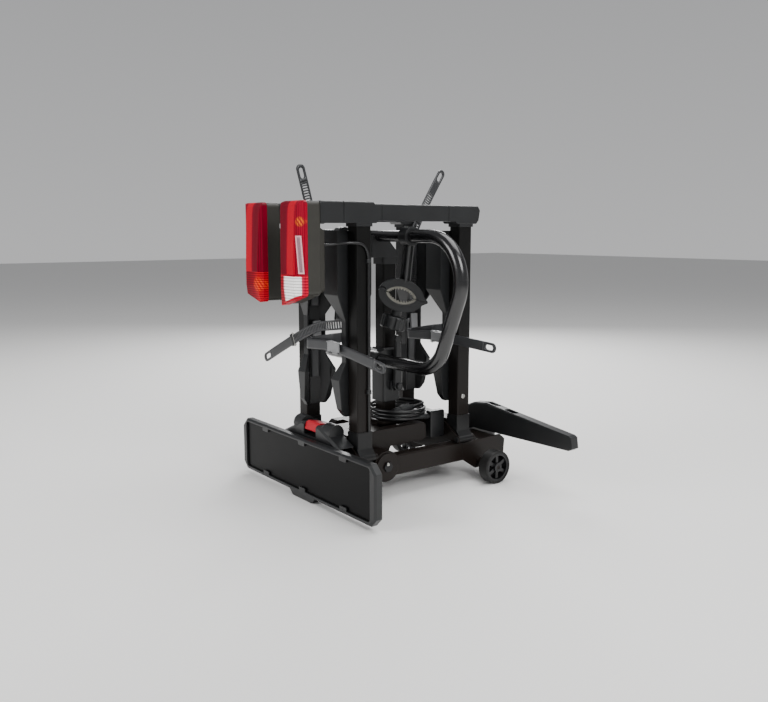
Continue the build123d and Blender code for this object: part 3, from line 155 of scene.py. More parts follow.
def lamp_lens(name, bands, rib_mm, rib_axis, glow=None, window=None, painted_light=0.3):
    """Moulded acrylic over reflectors: colour bands with painted light where daylight fills them, under
    optic ribs.

    bands holds (millimetres from the middle, sRGB): the lens's red, lighter in painted light over a
    reflector.
    glow is (x, height, radius, sRGB) of a painted glow of a bulb behind it, which is not lit. window is a
    second set of bands for the lens's rear face, inside a rim in the first colours. painted_light is the
    strength of an emission of the banded colour, painted light in a lamp that is not lit. The IOR and the
    coat are lower than acrylic's, whose highlights veil a red this deep with white.
    """
    material, tree = new_material(name)
    place = add_node(tree, "ShaderNodeTexCoord").outputs["Object"]
    split = add_node(tree, "ShaderNodeSeparateXYZ", {"Vector": place})
    out = add_node(tree, "ShaderNodeMath", {0: split.outputs["X"]}, operation="ABSOLUTE").outputs[0]
    across = add_node(
        tree, "ShaderNodeMapRange",
        {"Value": out, "From Min": LENS_INNER / 1000, "From Max": LENS_OUTER / 1000}).outputs["Result"]
    # Painted light: the bands hold the lens's red, lighter where a reflector behind it catches the daylight
    banded = []
    for stops in filter(None, (bands, window)):
        ramp = add_node(tree, "ShaderNodeValToRGB", {"Fac": across})
        elements = ramp.color_ramp.elements
        for index, (reach, code) in enumerate(stops):
            element = elements[index] if index < 2 else elements.new(1.0)
            element.position = (reach - LENS_INNER) / (LENS_OUTER - LENS_INNER)
            element.color = srgb(code)
        banded.append(ramp.outputs["Color"])
    colour = banded[0]
    if window:
        # The window is the product of three steps: above a rim of 5 mm along the sloping lower edge,
        # below the seam, and on the rear face, 65 mm behind the carrier's rear
        climb = add_node(tree, "ShaderNodeMath", {0: out, 1: LENS_CLIMB}, operation="MULTIPLY")
        level = add_node(
            tree, "ShaderNodeMath", {0: split.outputs["Z"], 1: climb.outputs[0]}, operation="SUBTRACT")
        foot = GROUND + (LENS_FOOT - LENS_CLIMB * LENS_INNER) / 1000
        seam = GROUND + LENS_SEAM / 1000
        steps = [
            add_node(tree, "ShaderNodeMapRange", {"Value": value, "From Min": none, "From Max": whole})
            for value, none, whole in (
                (level.outputs[0], foot + 0.0048, foot + 0.0054),
                (split.outputs["Z"], seam, seam - 0.0005),
                (split.outputs["Y"], REAR - 0.0646, REAR - 0.0652))
        ]
        share = steps[0].outputs["Result"]
        for step in steps[1:]:
            share = add_node(
                tree, "ShaderNodeMath", {0: share, 1: step.outputs["Result"]},
                operation="MULTIPLY").outputs[0]
        colour = add_node(
            tree, "ShaderNodeMix", {FACTOR: share, FIRST: colour, SECOND: banded[1]},
            data_type="RGBA").outputs[MIXED]
    if glow:
        # Painted glow of an unlit bulb: it fades out from 0.4 of its radius, broken up by facets of 6 mm
        x, height, radius, code = glow
        flat = add_node(tree, "ShaderNodeCombineXYZ", {"X": out, "Z": split.outputs["Z"]})
        distance = add_node(
            tree, "ShaderNodeVectorMath",
            {0: flat.outputs["Vector"], 1: (x / 1000, 0.0, GROUND + height / 1000)}, operation="DISTANCE")
        far = add_node(
            tree, "ShaderNodeMapRange",
            {"Value": distance.outputs["Value"], "From Min": 0.4 * radius / 1000, "From Max": radius / 1000})
        facets = add_node(
            tree, "ShaderNodeTexWave", {"Vector": place, "Scale": 1000 / 6 / WAVES_PER_METRE},
            bands_direction="DIAGONAL")
        dim = add_node(
            tree, "ShaderNodeMath", {0: far.outputs["Result"], 1: facets.outputs["Fac"]},
            operation="MAXIMUM")
        colour = add_node(
            tree, "ShaderNodeMix", {FACTOR: dim.outputs[0], FIRST: srgb(code), SECOND: colour},
            data_type="RGBA").outputs[MIXED]
    # Painted shade of the optic ribs: stripes that darken the colour down to 0xB0B0B0 of itself
    ribs = add_node(
        tree, "ShaderNodeTexWave", {"Vector": place, "Scale": 1000 / rib_mm / WAVES_PER_METRE},
        bands_direction=rib_axis)
    shade = add_node(
        tree, "ShaderNodeMix",
        {FACTOR: ribs.outputs["Fac"], FIRST: srgb(0xB0B0B0), SECOND: srgb(0xFFFFFF)}, data_type="RGBA")
    ribbed = add_node(
        tree, "ShaderNodeMix", {FACTOR: 1.0, FIRST: colour, SECOND: shade.outputs[MIXED]},
        data_type="RGBA", blend_type="MULTIPLY").outputs[MIXED]
    rounded = add_node(tree, "ShaderNodeBevel", {"Radius": 0.0025}, samples=4)
    # The emission of the banded colour at painted_light strength is painted light: the lamp is not lit
    shader = add_node(
        tree, "ShaderNodeBsdfPrincipled",
        {"Base Color": ribbed, "Emission Color": ribbed, "Emission Strength": painted_light,
         "Normal": rounded.outputs["Normal"], "Roughness": 0.4, "IOR": 1.25, "Specular IOR Level": 0.25,
         "Coat Weight": 0.06, "Coat Roughness": 0.05})
    add_node(tree, "ShaderNodeOutputMaterial", {"Surface": shader.outputs["BSDF"]})
    return material


def make_materials():
    """Every finish of the carrier, by its name.

    Grit, spray grain and the grain of an eroded mould measure 0.1 to 0.3 mm. That is too fine to show,
    so they are drawn at 0.6 to 2.5 mm.
    """
    made = [
        # Powder coat on steel tube, sprayed and baked: satin black, a little brown near the ground from a
        # painted reflection of the floor's light
        textured_surface(
            "powder_coat_satin", 0x0B0B0B, 0x121211, 0.36, grain_mm=1.6, grain_depth=0.1, edge_mm=1.2,
            painted_floor_reflection=(0x1B1512, 0.4), sheen=0.2),
        # Powder coat on the bent tubes, which flows out smoother: broad soft highlights along the tube
        textured_surface(
            "powder_coat_gloss", 0x08080A, 0x0C0C0E, 0.22, grain_mm=2.2, grain_depth=0.03, sheen=0.8),
        # Cast iron under black paint: the sand mould leaves a coarse skin that scatters the light
        textured_surface(
            "cast_iron_painted", 0x0D0D0E, 0x141415, 0.42, grain_mm=1.2, grain_depth=0.35, edge_mm=1.6,
            sheen=0.35),
        # Steel with a clear passivated zinc plating: a pale metal with soft reflections
        textured_surface(
            "zinc_plated_steel", 0xA9A8A4, 0xC9C8C2, 0.3, metal=1.0, grain_mm=0.6, grain_depth=0.1,
            patch_mm=15),
        # Steel with a black zinc plating, on the big pivot pins: dark metal with a dull shine
        textured_surface(
            "black_zinc_steel", 0x2B2B2C, 0x3A3A3B, 0.42, metal=0.8, grain_mm=0.8, grain_depth=0.1,
            patch_mm=20),
        # Glass filled polyamide from an eroded mould: black lifted to charcoal by an even grain
        textured_surface(
            "polyamide_black", 0x191A1B, 0x232425, 0.36, grain_mm=0.9, grain_depth=0.15, edge_mm=1.8,
            sheen=0.45),
        # The same polyamide of a greyer batch, for the lamp housings: matter, with a warm cast
        textured_surface(
            "polyamide_warm_grey", 0x2B2A26, 0x35342F, 0.45, grain_mm=0.9, grain_depth=0.2, edge_mm=3.0,
            sheen=0.4),
        # Moulded polypropylene of the wheel trays: smoother and a little waxy
        textured_surface(
            "polypropylene_black", 0x161718, 0x1F2021, 0.36, grain_mm=1.4, grain_depth=0.15,
            edge_mm=2.0, sheen=0.4),
        # Moulded black ABS of the wheels and the junction box: even, with a satin shine
        textured_surface(
            "abs_black", 0x0F1011, 0x17181A, 0.36, grain_mm=0.8, grain_depth=0.15, edge_mm=1.2,
            sheen=0.4),
        # Moulded polyamide of the buckles, coloured through: an even mid grey
        textured_surface(
            "polyamide_mid_grey", 0x7C7D7E, 0x8E8F90, 0.36, grain_mm=0.8, grain_depth=0.1, patch_mm=20,
            edge_mm=1.5),
        # Moulded thermoplastic elastomer of the jaw liners: soft, light grey and matt
        textured_surface(
            "elastomer_light_grey", 0x6E6C64, 0x8C8A80, 0.55, grain_mm=0.8, grain_depth=0.15,
            patch_mm=20),
        # Moulded ABS of the foot pedal, coloured through: a clear red with a satin shine
        textured_surface(
            "abs_red", 0xB81024, 0xC8142A, 0.36, grain_mm=1.0, grain_depth=0.2, patch_mm=30,
            edge_mm=1.5),
        # Red acrylic, moulded clear: painted light makes it bright over its reflector, deep red beside it,
        # with a painted glow of a bulb
        lamp_lens(
            "acrylic_red",
            [(39, 0x800020), (60, 0x70001A), (73, 0x7C0020), (78, 0xC80024), (99, 0xCC0026),
             (105, 0x8C0020), (118, 0xA40028), (125, 0xA00026)],
            4.0, "X", glow=(115, 622, 11, 0xFF7800)),
        # The same acrylic over the fog lamp's reflector: evenly deep, with a larger and redder painted bulb
        # glow
        lamp_lens(
            "acrylic_deep_red",
            [(39, 0xB80020), (50, 0xC00018), (66, 0x94001C), (90, 0x7C0018), (118, 0x8C0020),
             (125, 0xB00028)],
            5.0, "Z", glow=(52, 488, 18, 0xFF4A00)),
        # Clear acrylic over a white reflector, moulded into a red rim: a ribbed window, its white the
        # reflector's and its extra brightness painted light
        lamp_lens(
            "acrylic_clear",
            [(39, 0xA80020), (118, 0xB00024), (125, 0xC0002C)],
            6.0, "Z", painted_light=0.6,
            window=[(39, 0x800A16), (62, 0x981424), (65, 0xE8C8C8), (69, 0xFFFCF8), (116, 0xFFFFFC),
                    (118, 0xC03048), (125, 0xB0002C)]),
        # Frame of the rear reflector, moulded of milky pink acrylic: smooth and glossy
        textured_surface(
            "acrylic_pink_frame", 0xE89AA2, 0xF6C4C8, 0.25, grain_mm=1.0, grain_depth=0.05, coat=0.5),
        # Pane of the rear reflector, clear acrylic moulded into prisms of 3 mm: a dull pink sparkle
        textured_surface(
            "prism_pane", 0x6A4A52, 0xB08890, 0.35, grain_mm=1.5, grain_depth=0.6, patch_mm=3),
        # Black baked enamel on the blank plate: flat and smooth, almost without a highlight
        textured_surface(
            "enamel_black", 0x050506, 0x080809, 0.34, grain_mm=2.5, grain_depth=0.004, sheen=0.1),
        # Solid rubber tread of the transport wheels, moulded and scuffed: a rough dark grey
        textured_surface(
            "rubber_tread", 0x0E0E0E, 0x181817, 0.55, grain_mm=1.2, grain_depth=0.4, patch_mm=12,
            edge_mm=1.5, sheen=0.35),
        # Soft moulded rubber of the plug, the glands and the clips: matt, with no clear highlight
        textured_surface(
            "rubber_plug", 0x141516, 0x1D1E20, 0.6, grain_mm=0.8, grain_depth=0.2, patch_mm=15),
        # Extruded flexible PVC, the sheath of the cables: a thin bright line along the cord
        textured_surface(
            "pvc_cable", 0x101112, 0x19191A, 0.34, grain_mm=1.5, grain_depth=0.1, patch_mm=25),
        # Moulded polyurethane of the straps: tough, dark grey and slightly waxy
        textured_surface(
            "polyurethane_strap", 0x2A2B2D, 0x3A3B3D, 0.34, grain_mm=1.0, grain_depth=0.15,
            patch_mm=30),
    ]
    return {material.name: material for material in made}


FINISHES = {
    "powder_coat_satin": ["chassis_frame", "platform_frame", "mast_post", "wing_posts_*", "plate_bracket"],
    "powder_coat_gloss": ["hoop_tube", "hoop_sleeve"],
    "cast_iron_painted": ["coupling_housing", "hinge_feet_*"],
    "zinc_plated_steel": ["ball_jaw", "lever_pin"],
    "black_zinc_steel": ["tilt_pivot_pin", "wing_hinge_pins"],
    "polyamide_black": [
        "coupling_lever", "mast_collar", "mast_lever", "mast_cap", "plate_holder", "pedal_housing",
        "top_bar_*", "clamp_arm_*", "clamp_jaw_*", "clamp_knob_*"],
    "polyamide_warm_grey": ["lamp_housing_*"],
    "polypropylene_black": ["tray_rear_*", "tray_front_*"],
    "abs_black": ["wheel_hub_*", "junction_box"],
    "abs_red": ["foot_pedal"],
    "polyamide_mid_grey": ["buckle_lever_rear_*", "buckle_lever_front_*"],
    "acrylic_red": ["lens_red_*"],
    "acrylic_clear": ["lens_lower_right"],
    "acrylic_deep_red": ["lens_lower_left"],
    "enamel_black": ["number_plate"],
    "rubber_tread": ["wheel_tyre_*"],
    "rubber_plug": ["lead_plug"],
}


def give_finish(obj, material):
    """Puts one material on an object."""
    obj.data.materials.clear()
    obj.data.materials.append(material)


def nodes_like(pattern):
    """CAD node names that a pattern names: it ends in * where left and right are alike."""
    if not pattern.endswith("*"):
        return [pattern]
    return [name for name in NODES if name.startswith(pattern[:-1])]


def add_object(name, data):
    """Puts a mesh, a curve, a light or a camera into the scene as an object."""
    made = bpy.data.objects.new(name, data)
    bpy.context.scene.collection.objects.link(made)
    return made


def spline_curve(name, points):
    """A curve with one NURBS spline through the route's points."""
    curve = bpy.data.curves.new(name, "CURVE")
    curve.dimensions = "3D"
    spline = curve.splines.new("NURBS")
    spline.points.add(len(points) - 1)
    for target, point in zip(spline.points, points):
        target.co = (*point, 1.0)
    spline.order_u = 3
    spline.use_endpoint_u = True
    return curve, spline


def spline_tube(name, points, radius, material):
    """A smooth tube along one NURBS spline through the route's points."""
    curve, spline = spline_curve(name, points)
    spline.resolution_u = 6
    curve.bevel_depth = radius
    curve.bevel_resolution = 4
    curve.use_fill_caps = True
    curve.materials.append(material)
    return add_object(name, curve)


def spline_line(points):
    """Points close together on the NURBS spline of a route."""
    curve, spline = spline_curve("route", points)
    spline.resolution_u = 16
    holder = bpy.data.objects.new("route", curve)
    mesh = bpy.data.meshes.new_from_object(holder)
    line = [vert.co.copy() for vert in mesh.vertices]
    bpy.data.meshes.remove(mesh)
    bpy.data.objects.remove(holder)
    bpy.data.curves.remove(curve)
    return line


def finish_piece(name, shape, material, body, sharp=32.0):
    """Ends a mesh piece: merged, its faces outwards, smooth up to the sharp angle, riding on its body."""
    bmesh.ops.remove_doubles(shape, verts=shape.verts, dist=0.00002)
    bmesh.ops.recalc_face_normals(shape, faces=shape.faces)
    mesh = bpy.data.meshes.new(name)
    shape.to_mesh(mesh)
    shape.free()
    mesh.shade_smooth()
    mesh.set_sharp_from_angle(angle=radians(sharp))
    mesh.materials.append(MATERIALS[material])
    piece = add_object(name, mesh)
    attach(piece, body)
    return piece


def frame_matrix(origin, along, across):
    """Matrix that takes flat parts to a place: x to along, y to across."""
    x, y = along.normalized(), across.normalized()
    z = x.cross(y)
    return Matrix.Translation(origin) @ Matrix((x, y, z)).transposed().to_4x4()


def mirrored(shape, side):
    """Turns a right hand shape into the left hand one where side is -1."""
    bmesh.ops.scale(shape, verts=shape.verts, vec=(side, 1, 1))
    return shape


def add_block(shape, size, place, edge):
    """Adds a block with bevelled edges to a shape."""
    before = set(shape.verts)
    made = bmesh.ops.create_cube(shape, size=1.0)["verts"]
    bmesh.ops.scale(shape, verts=made, vec=size)
    bmesh.ops.bevel(
        shape, geom=[e for e in shape.edges if e.verts[0] in made], offset=edge, segments=3, profile=0.5,
        affect="EDGES", material=-1)
    fresh = [vert for vert in shape.verts if vert not in before]
    bmesh.ops.transform(shape, matrix=place, verts=fresh)


def add_round(shape, place, profile, segments=32):
    """Adds a turned body to a shape: profile holds (distance along z, radius) from foot to head."""
    rings = []
    for distance, radius in profile:
        ring = bmesh.ops.create_circle(
            shape, segments=segments, radius=radius, cap_ends=False,
            matrix=Matrix.Translation((0, 0, distance)))
        rings.append(ring["verts"])
    for pair in zip(rings, rings[1:]):
        edges = [
            e for e in shape.edges if any(e.verts[0] in ring and e.verts[1] in ring for ring in pair)]
        bmesh.ops.bridge_loops(shape, edges=edges)
    for ring in (rings[0], rings[-1]):
        bmesh.ops.contextual_create(shape, geom=ring)
    bmesh.ops.transform(shape, matrix=place, verts=[vert for ring in rings for vert in ring])


def line_lengths(line):
    """Length along a line to each of its points."""
    gone = [0.0]
    for here, there in zip(line, line[1:]):
        gone.append(gone[-1] + (there - here).length)
    return gone


def line_reach(line, target):
    """Length along a line to its point nearest to a target."""
    nearest = min(range(len(line) - 1), key=lambda index: (line[index] - target).length)
    return line_lengths(line)[nearest]


def lay_along(shape, line, wide):
    """Bends flat parts onto a line: x runs along it, y across it towards wide and z off its face."""
    gone, last = line_lengths(line), len(line) - 1
    headings = [(line[min(i + 1, last)] - line[max(i - 1, 0)]).normalized() for i in range(len(line))]
    for vert in shape.verts:
        reach, across, off = vert.co
        index = min(max(bisect(gone, reach) - 1, 0), last - 1)
        share = (reach - gone[index]) / (gone[index + 1] - gone[index])
        heading = headings[index].lerp(headings[index + 1], min(max(share, 0.0), 1.0)).normalized()
        side = (wide - heading * wide.dot(heading)).normalized()
        vert.co = line[index].lerp(line[index + 1], share) + side * across + heading.cross(side) * off


def flat_strap(length, width, rungs=(0.0, 0.0), eye=True):
    """A strap laid out flat: slots of 3 mm between rungs of 3 mm over a stretch, and a tab with an eye."""
    shape = bmesh.new()
    border, rung, tab = 0.004, 0.003, 0.041
    straight = length - (tab if eye else 0.0)
    bmesh.ops.create_grid(shape, x_segments=round(straight / (rung / 2)), y_segments=3, size=0.5)
    levels = (-width / 2, border - width / 2, width / 2 - border, width / 2)
    for vert in shape.verts:
        vert.co = ((vert.co.x + 0.5) * straight, levels[round((vert.co.y + 0.5) * 3)], 0.0)
    slots = []
    for face in shape.faces:
        middle = face.calc_center_median()
        if abs(middle.y) < border / 2 and rungs[0] < middle.x < rungs[1] and int(middle.x / rung) % 2:
            slots.append(face)
    bmesh.ops.delete(shape, geom=slots, context="FACES")
    if eye:
        outer = bmesh.ops.create_circle(shape, segments=48, radius=width / 2)["verts"]
        inner = bmesh.ops.create_circle(shape, segments=48, radius=width / 4)["verts"]
        # Each ring is drawn out into a slot, and the outer one is squared off towards the strap
        for ring, first, last in (
            (outer, length - 0.030, length - 0.011), (inner, length - 0.0265, length - 0.0135),
        ):
            for vert in ring:
                if vert.co.x < -0.00001 and ring is outer:
                    vert.co *= width / 2 / max(abs(vert.co.x), abs(vert.co.y))
                vert.co.x += last if vert.co.x > 0 else first
        edges = [e for e in shape.edges if e.verts[0] in outer + inner and e.verts[1] in outer + inner]
        bmesh.ops.bridge_loops(shape, edges=edges)
    return shape


def lay_strap(name, points, wide, body, node, width, rungs=(0.0, 0.0), eye=True):
    """A strap bent along a route, in place of the CAD band."""
    line = spline_line(points)
    shape = flat_strap(line_lengths(line)[-1], width, rungs, eye)
    lay_along(shape, line, wide)
    strap = finish_piece(name, shape, "polyurethane_strap", body)
    wall = strap.modifiers.new("wall", "SOLIDIFY")
    wall.thickness = STRAP_THICKNESS
    wall.offset = 0.0
    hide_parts(node)
    return line


class CarrierSettings(bpy.types.PropertyGroup):
    """Sizes and colours of the carrier that a user may want to change."""

    lead_diameter: FloatProperty(
        name="Lead diameter", description="Outside diameter of the lead to the car", default=0.008,
        unit="LENGTH")
    coil_radius: FloatProperty(
        name="Coil radius", description="Radius of the lead's winding round the mast", default=0.066,
        unit="LENGTH")
    coil_pitch: FloatProperty(
        name="Coil pitch", description="Rise of the winding in one turn", default=0.0087, unit="LENGTH")
    strap_width: FloatProperty(
        name="Strap width", description="Width of the buckle straps and ladder straps", default=0.022,
        unit="LENGTH")
    liner_teeth: IntProperty(
        name="Liner teeth", description="Teeth round the eye of a frame clamp", default=26, min=12, max=60)
    floor_size: FloatProperty(
        name="Floor size", description="Side of the studio floor", default=30.0, unit="LENGTH")
    floor_colour: FloatVectorProperty(
        name="Floor colour", description="Colour of the studio floor", subtype="COLOR", size=3,
        default=tuple(srgb(0xF6F5F3)[:3]))
    lens_focal: FloatProperty(
        name="Focal length", description="Focal length of the camera on a 36 mm wide sensor",
        default=38.6, unit="CAMERA")


class CARRIER_OT_finish_frame(bpy.types.Operator):
    """Give every CAD piece its own finish"""

    bl_idname = "carrier.finish_frame"
    bl_label = "Finish the frame"

    def execute(self, context):
        for finish, patterns in FINISHES.items():
            for pattern in patterns:
                for name in nodes_like(pattern):
                    give_finish(NODES[name], MATERIALS[finish])
        return {"FINISHED"}


class CARRIER_OT_wind_lead(bpy.types.Operator):
    """Wind the lead round the foot of the mast and put its gland on the junction box"""

    bl_idname = "carrier.wind_lead"
    bl_label = "Wind the lead"

    def execute(self, context):
        settings = context.scene.carrier
        radius, pitch = settings.coil_radius, settings.coil_pitch
        gland_x, level = 72, 163.5
        middle = spot(6, 262, level)
        turns, per_turn = 2.75, 16
        last = round(turns * per_turn)
        # Control points stand outside the winding, and the first and last lie on it
        wide = radius / cos(pi / per_turn) ** 2
        route = [spot(gland_x, distance, level) for distance in (298, 284, 270)]
        for step in range(last + 1):
            angle = -2 * pi * step / per_turn
            reach = radius if step in (0, last) else wide
            route.append(middle + Vector((reach * cos(angle), reach * sin(angle), pitch * step / per_turn)))
        # The tail bends back into the winding's middle and ends in the plug's neck
        route += [spot(26, 328, 187), spot(38, 316, 186.2), spot(38, 296, 184.4), spot(38, 288.1, 183.2)]
        lead = spline_tube("lead", route, settings.lead_diameter / 2, MATERIALS["pvc_cable"])
        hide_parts("lead_run", "lead_coil")
        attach(lead, "platform")
        # Strain relief: a collar, and four ribs that taper towards the lead
        ribs = [(0.0, 0.0072), (0.002, 0.0072)]
        for step in range(4):
            ribs += [
                (0.003 + 0.004 * step, 0.0056 - 0.0003 * step),
                (0.0055 + 0.004 * step, 0.0064 - 0.0005 * step)]
        ribs += [(0.0225, 0.0045)]
        gland = bmesh.new()
        add_round(gland, frame_matrix(spot(gland_x, 299, level), RIGHT, UP), ribs)
        finish_piece("lead_gland", gland, "rubber_plug", "platform")
        return {"FINISHED"}


class CARRIER_OT_lay_lamp_cables(bpy.types.Operator):
    """Lay the cable of each lamp round its post, with its gland and two clips"""

    bl_idname = "carrier.lay_lamp_cables"
    bl_label = "Lay the lamp cables"

    def execute(self, context):
        lamp_x, lamp_height, post_x, post_at = 98, 575, 124, 93
        for hand, side in SIDES.items():
            # Out of the lamp's back, round the rear post's outer corner and straight down it
            route = [
                spot(side * x, distance, height)
                for x, distance, height in (
                    (lamp_x, -14, lamp_height), (lamp_x, 14, lamp_height), (126, 46, 580),
                    *((post_x, post_at, height) for height in (574, 500, 400, 300, 220, 166)))
            ]
            cable = spline_tube(f"lamp_lead_{hand}", route, LAMP_CABLE / 2, MATERIALS["pvc_cable"])
            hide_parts(f"lamp_cable_{hand}")
            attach(cable, f"wing_{hand}")
            extras = bmesh.new()
            add_round(
                extras, frame_matrix(spot(lamp_x, -17, lamp_height), UP, RIGHT),
                [(0.0, 0.0062), (0.003, 0.0062), (0.004, 0.0048), (0.014, 0.0036)])
            for height in (540, 255):
                add_block(
                    extras, (0.0072, 0.011, 0.009), Matrix.Translation(spot(post_x + 0.2, post_at, height)),
                    0.0015)
            finish_piece(
                f"lamp_lead_clips_{hand}", mirrored(extras, side), "rubber_plug", f"wing_{hand}")
        return {"FINISHED"}


class CARRIER_OT_line_jaws(bpy.types.Operator):
    """Line the eye of each frame clamp with two toothed half rings inside two plain lips"""

    bl_idname = "carrier.line_jaws"
    bl_label = "Line the clamp jaws"

    def execute(self, context):
        # The eye's long axis, turned from the carrier's width and sloping down, and its short axis
        turn, lean = radians(53.0), radians(15.6)
        along = Vector((cos(turn) * cos(lean), sin(turn) * cos(lean), -sin(lean)))
        up = Vector((cos(turn) * sin(lean), sin(turn) * sin(lean), cos(lean)))
        eye = frame_matrix(spot(104, 198, 461), along, up)
        points = 2 * context.scene.carrier.liner_teeth
        # Half sizes of the hidden outline and of the teeth's tips and roots, and the face at the eye's
        # front. The teeth are coarser than real ones, which would not show, and a lip has none
        liner = (0.0378, 0.0228), (0.0258, 0.0118), (0.0308, 0.0166), 0.0112
        lip = (0.0390, 0.0240), (0.0345, 0.0196), (0.0345, 0.0196), 0.0132
        # With the face at the back. The hinged jaw is thinner there, so its liner stops short
        rings = (
            ("liner", "arm", *liner, -0.0112, "elastomer_light_grey", "light_grey_plastic"),
            ("lip", "arm", *lip, 0.0100, "polyamide_black", "black_plastic"),
            ("liner", "jaw", *liner, -0.49 * 0.0112, "elastomer_light_grey", "light_grey_plastic"),
            ("lip", "jaw", *lip, 0.0100, "polyamide_black", "black_plastic"),
        )
        for hand, side in SIDES.items():
            for kind, jaw, hidden, tip, root, front, back, material, slot in rings:
                ring = bmesh.new()
                outer = bmesh.ops.create_circle(ring, segments=points, radius=1.0)["verts"]
                inner = bmesh.ops.create_circle(ring, segments=points, radius=1.0)["verts"]
                # An ellipse drawn in by up to a fifth towards its pointed ends
                for vert in inner:
                    vert.co.y *= 1 - 0.2 * vert.co.x ** 2
                bmesh.ops.scale(ring, verts=outer, vec=(*hidden, 1.0))
                bmesh.ops.scale(ring, verts=inner[::2], vec=(*root, 1.0))
                bmesh.ops.scale(ring, verts=inner[1::2], vec=(*tip, 1.0))
                bmesh.ops.bridge_loops(ring, edges=ring.edges[:])
                way = 1 if jaw == "arm" else -1
                bmesh.ops.bisect_plane(
                    ring, geom=ring.verts[:] + ring.edges[:] + ring.faces[:], plane_co=(0, way * 0.0008, 0),
                    plane_no=(0, -way, 0), clear_outer=True)
                ring.normal_update()
                bmesh.ops.solidify(ring, geom=ring.faces[:], thickness=front - back)
                foot = min(vert.co.z for vert in ring.verts)
                bmesh.ops.translate(ring, verts=ring.verts, vec=(0, 0, back - foot))
                bmesh.ops.transform(ring, matrix=eye, verts=ring.verts)
                finish_piece(
                    f"clamp_{jaw}_{kind}_{hand}", mirrored(ring, side), material, f"clamp_{jaw}_{hand}",
                    sharp=20.0)
        return {"FINISHED"}


class CARRIER_OT_lay_straps(bpy.types.Operator):
    """Lay the ladder straps and the buckle straps, with their keeper and buckle frames"""

    bl_idname = "carrier.lay_straps"
    bl_label = "Lay the straps"

    def execute(self, context):
        width = context.scene.carrier.strap_width
        self.lay_hanging_strap(width)
        # The straps that stand up in their grooves, each with its free length off its row
        for row, hand, node, free in (
            ("front", "right", "ladder_strap_front_right", ((0, 520), (3.5, 606))),
            ("rear", "left", "ladder_straps_left", ((0, 560), (0, 615), (-38.7, 752.3))),
            ("front", "left", "ladder_straps_left", ((0, 560), (0, 612), (97, 755.7))),
        ):
            at, side = ROWS[row], SIDES[hand]
            route = [spot(side * 77.4, at, 431), spot(side * 73.3, at, 452)]
            route += [spot(side * 73.3, at + off, height) for off, height in free]
            lay_strap(
                f"ladder_band_{row}_{hand}", route, FORWARD, f"wing_{hand}", node, width,
                rungs=(0.02, 0.28))
        # The buckle straps of the right wing, round a tight turn and back past the post
        for row, (tip_x, tip_height) in (("rear", (262, 332)), ("front", (274, 350))):
            at = ROWS[row]
            near, back = at - 41.5, at - 57.5
            route = [spot(*place) for place in (
                (78, at - 11.8, 374.5), (66, at - 23.3, 372), (52, near, 369.5), (0, near, 359.5),
                (-17, near, 356.5), (-24.5, near - 3, 355), (-24.5, back + 3, 353), (-17, back, 352.5),
                (0, back, 353.4), (92, back, 360), (tip_x + 14, back - 3, tip_height))]
            line = lay_strap(
                f"buckle_band_{row}_right", route, UP, "wing_right", "buckle_straps_right", width)
            reach = line_reach(line, spot(92, back, 358.5))
            self.add_buckle(f"buckle_frame_{row}_right", line, reach, UP, "wing_right")
        # The left wing is empty: its straps lie short along their grooves
        for row, at in ROWS.items():
            route = [spot(-77.5, at, height) for height in (262, 300, 372)]
            line = lay_strap(
                f"buckle_band_{row}_left", route, FORWARD, "wing_left", "buckle_straps_left", width,
                eye=False)
            self.add_buckle(f"buckle_frame_{row}_left", line, 0.104, FORWARD, "wing_left", low=-0.0014)
        return {"FINISHED"}

    def lay_hanging_strap(self, width):
        """Rear strap of the right wing, which reaches out behind the carrier, with its keeper and pin."""
        route = [spot(*at) for at in (
            (78, 71.7, 402), (48, 43, 398), (5, 38.6, 393), (-98, 34.9, 353), (-229, 33, 292))]
        line = lay_strap(
            "ladder_band_rear_right", route, UP, "wing_right", "ladder_strap_rear_right", width,
            rungs=(0.012, 0.196))
        reach = line_reach(line, spot(-98, 34.5, 354))
        keeper = bmesh.new()
        add_block(keeper, (0.010, 0.029, 0.0074), Matrix.Translation((reach, 0, 0)), 0.0012)
        lay_along(keeper, line, UP)
        finish_piece("strap_keeper", keeper, "polyamide_black", "wing_right")
        pin = bmesh.new()
        add_round(
            pin, Matrix.Translation((reach - 0.004, -0.0165, 0)) @ Matrix.Rotation(-pi / 2, 4, "X"),
            [(0.0, 0.0016), (0.0004, 0.0022), (0.0326, 0.0022), (0.033, 0.0016)], 16)
        lay_along(pin, line, UP)
        finish_piece("strap_keeper_pin", pin, "zinc_plated_steel", "wing_right")

    def add_buckle(self, name, line, reach, wide, body, low=-0.005):
        """Sleeve round the strap from low to high, with two ears and the ends of the lever's pin."""
        high = 0.0046
        pin_reach = reach - 0.008
        shape = bmesh.new()
        add_block(
            shape, (0.034, 0.026, high - low), Matrix.Translation((reach, 0, (high + low) / 2)), 0.0016)
        for end in (-1, 1):
            add_block(
                shape, (0.011, 0.0025, 0.012), Matrix.Translation((pin_reach, end * 0.01175, 0.0062)), 0.001)
        add_round(
            shape, Matrix.Translation((pin_reach, -0.0145, 0.009)) @ Matrix.Rotation(-pi / 2, 4, "X"),
            [(0.0, 0.0015), (0.0006, 0.0022), (0.0284, 0.0022), (0.029, 0.0015)], 16)
        lay_along(shape, line, wide)
        finish_piece(name, shape, "polyamide_mid_grey", body)


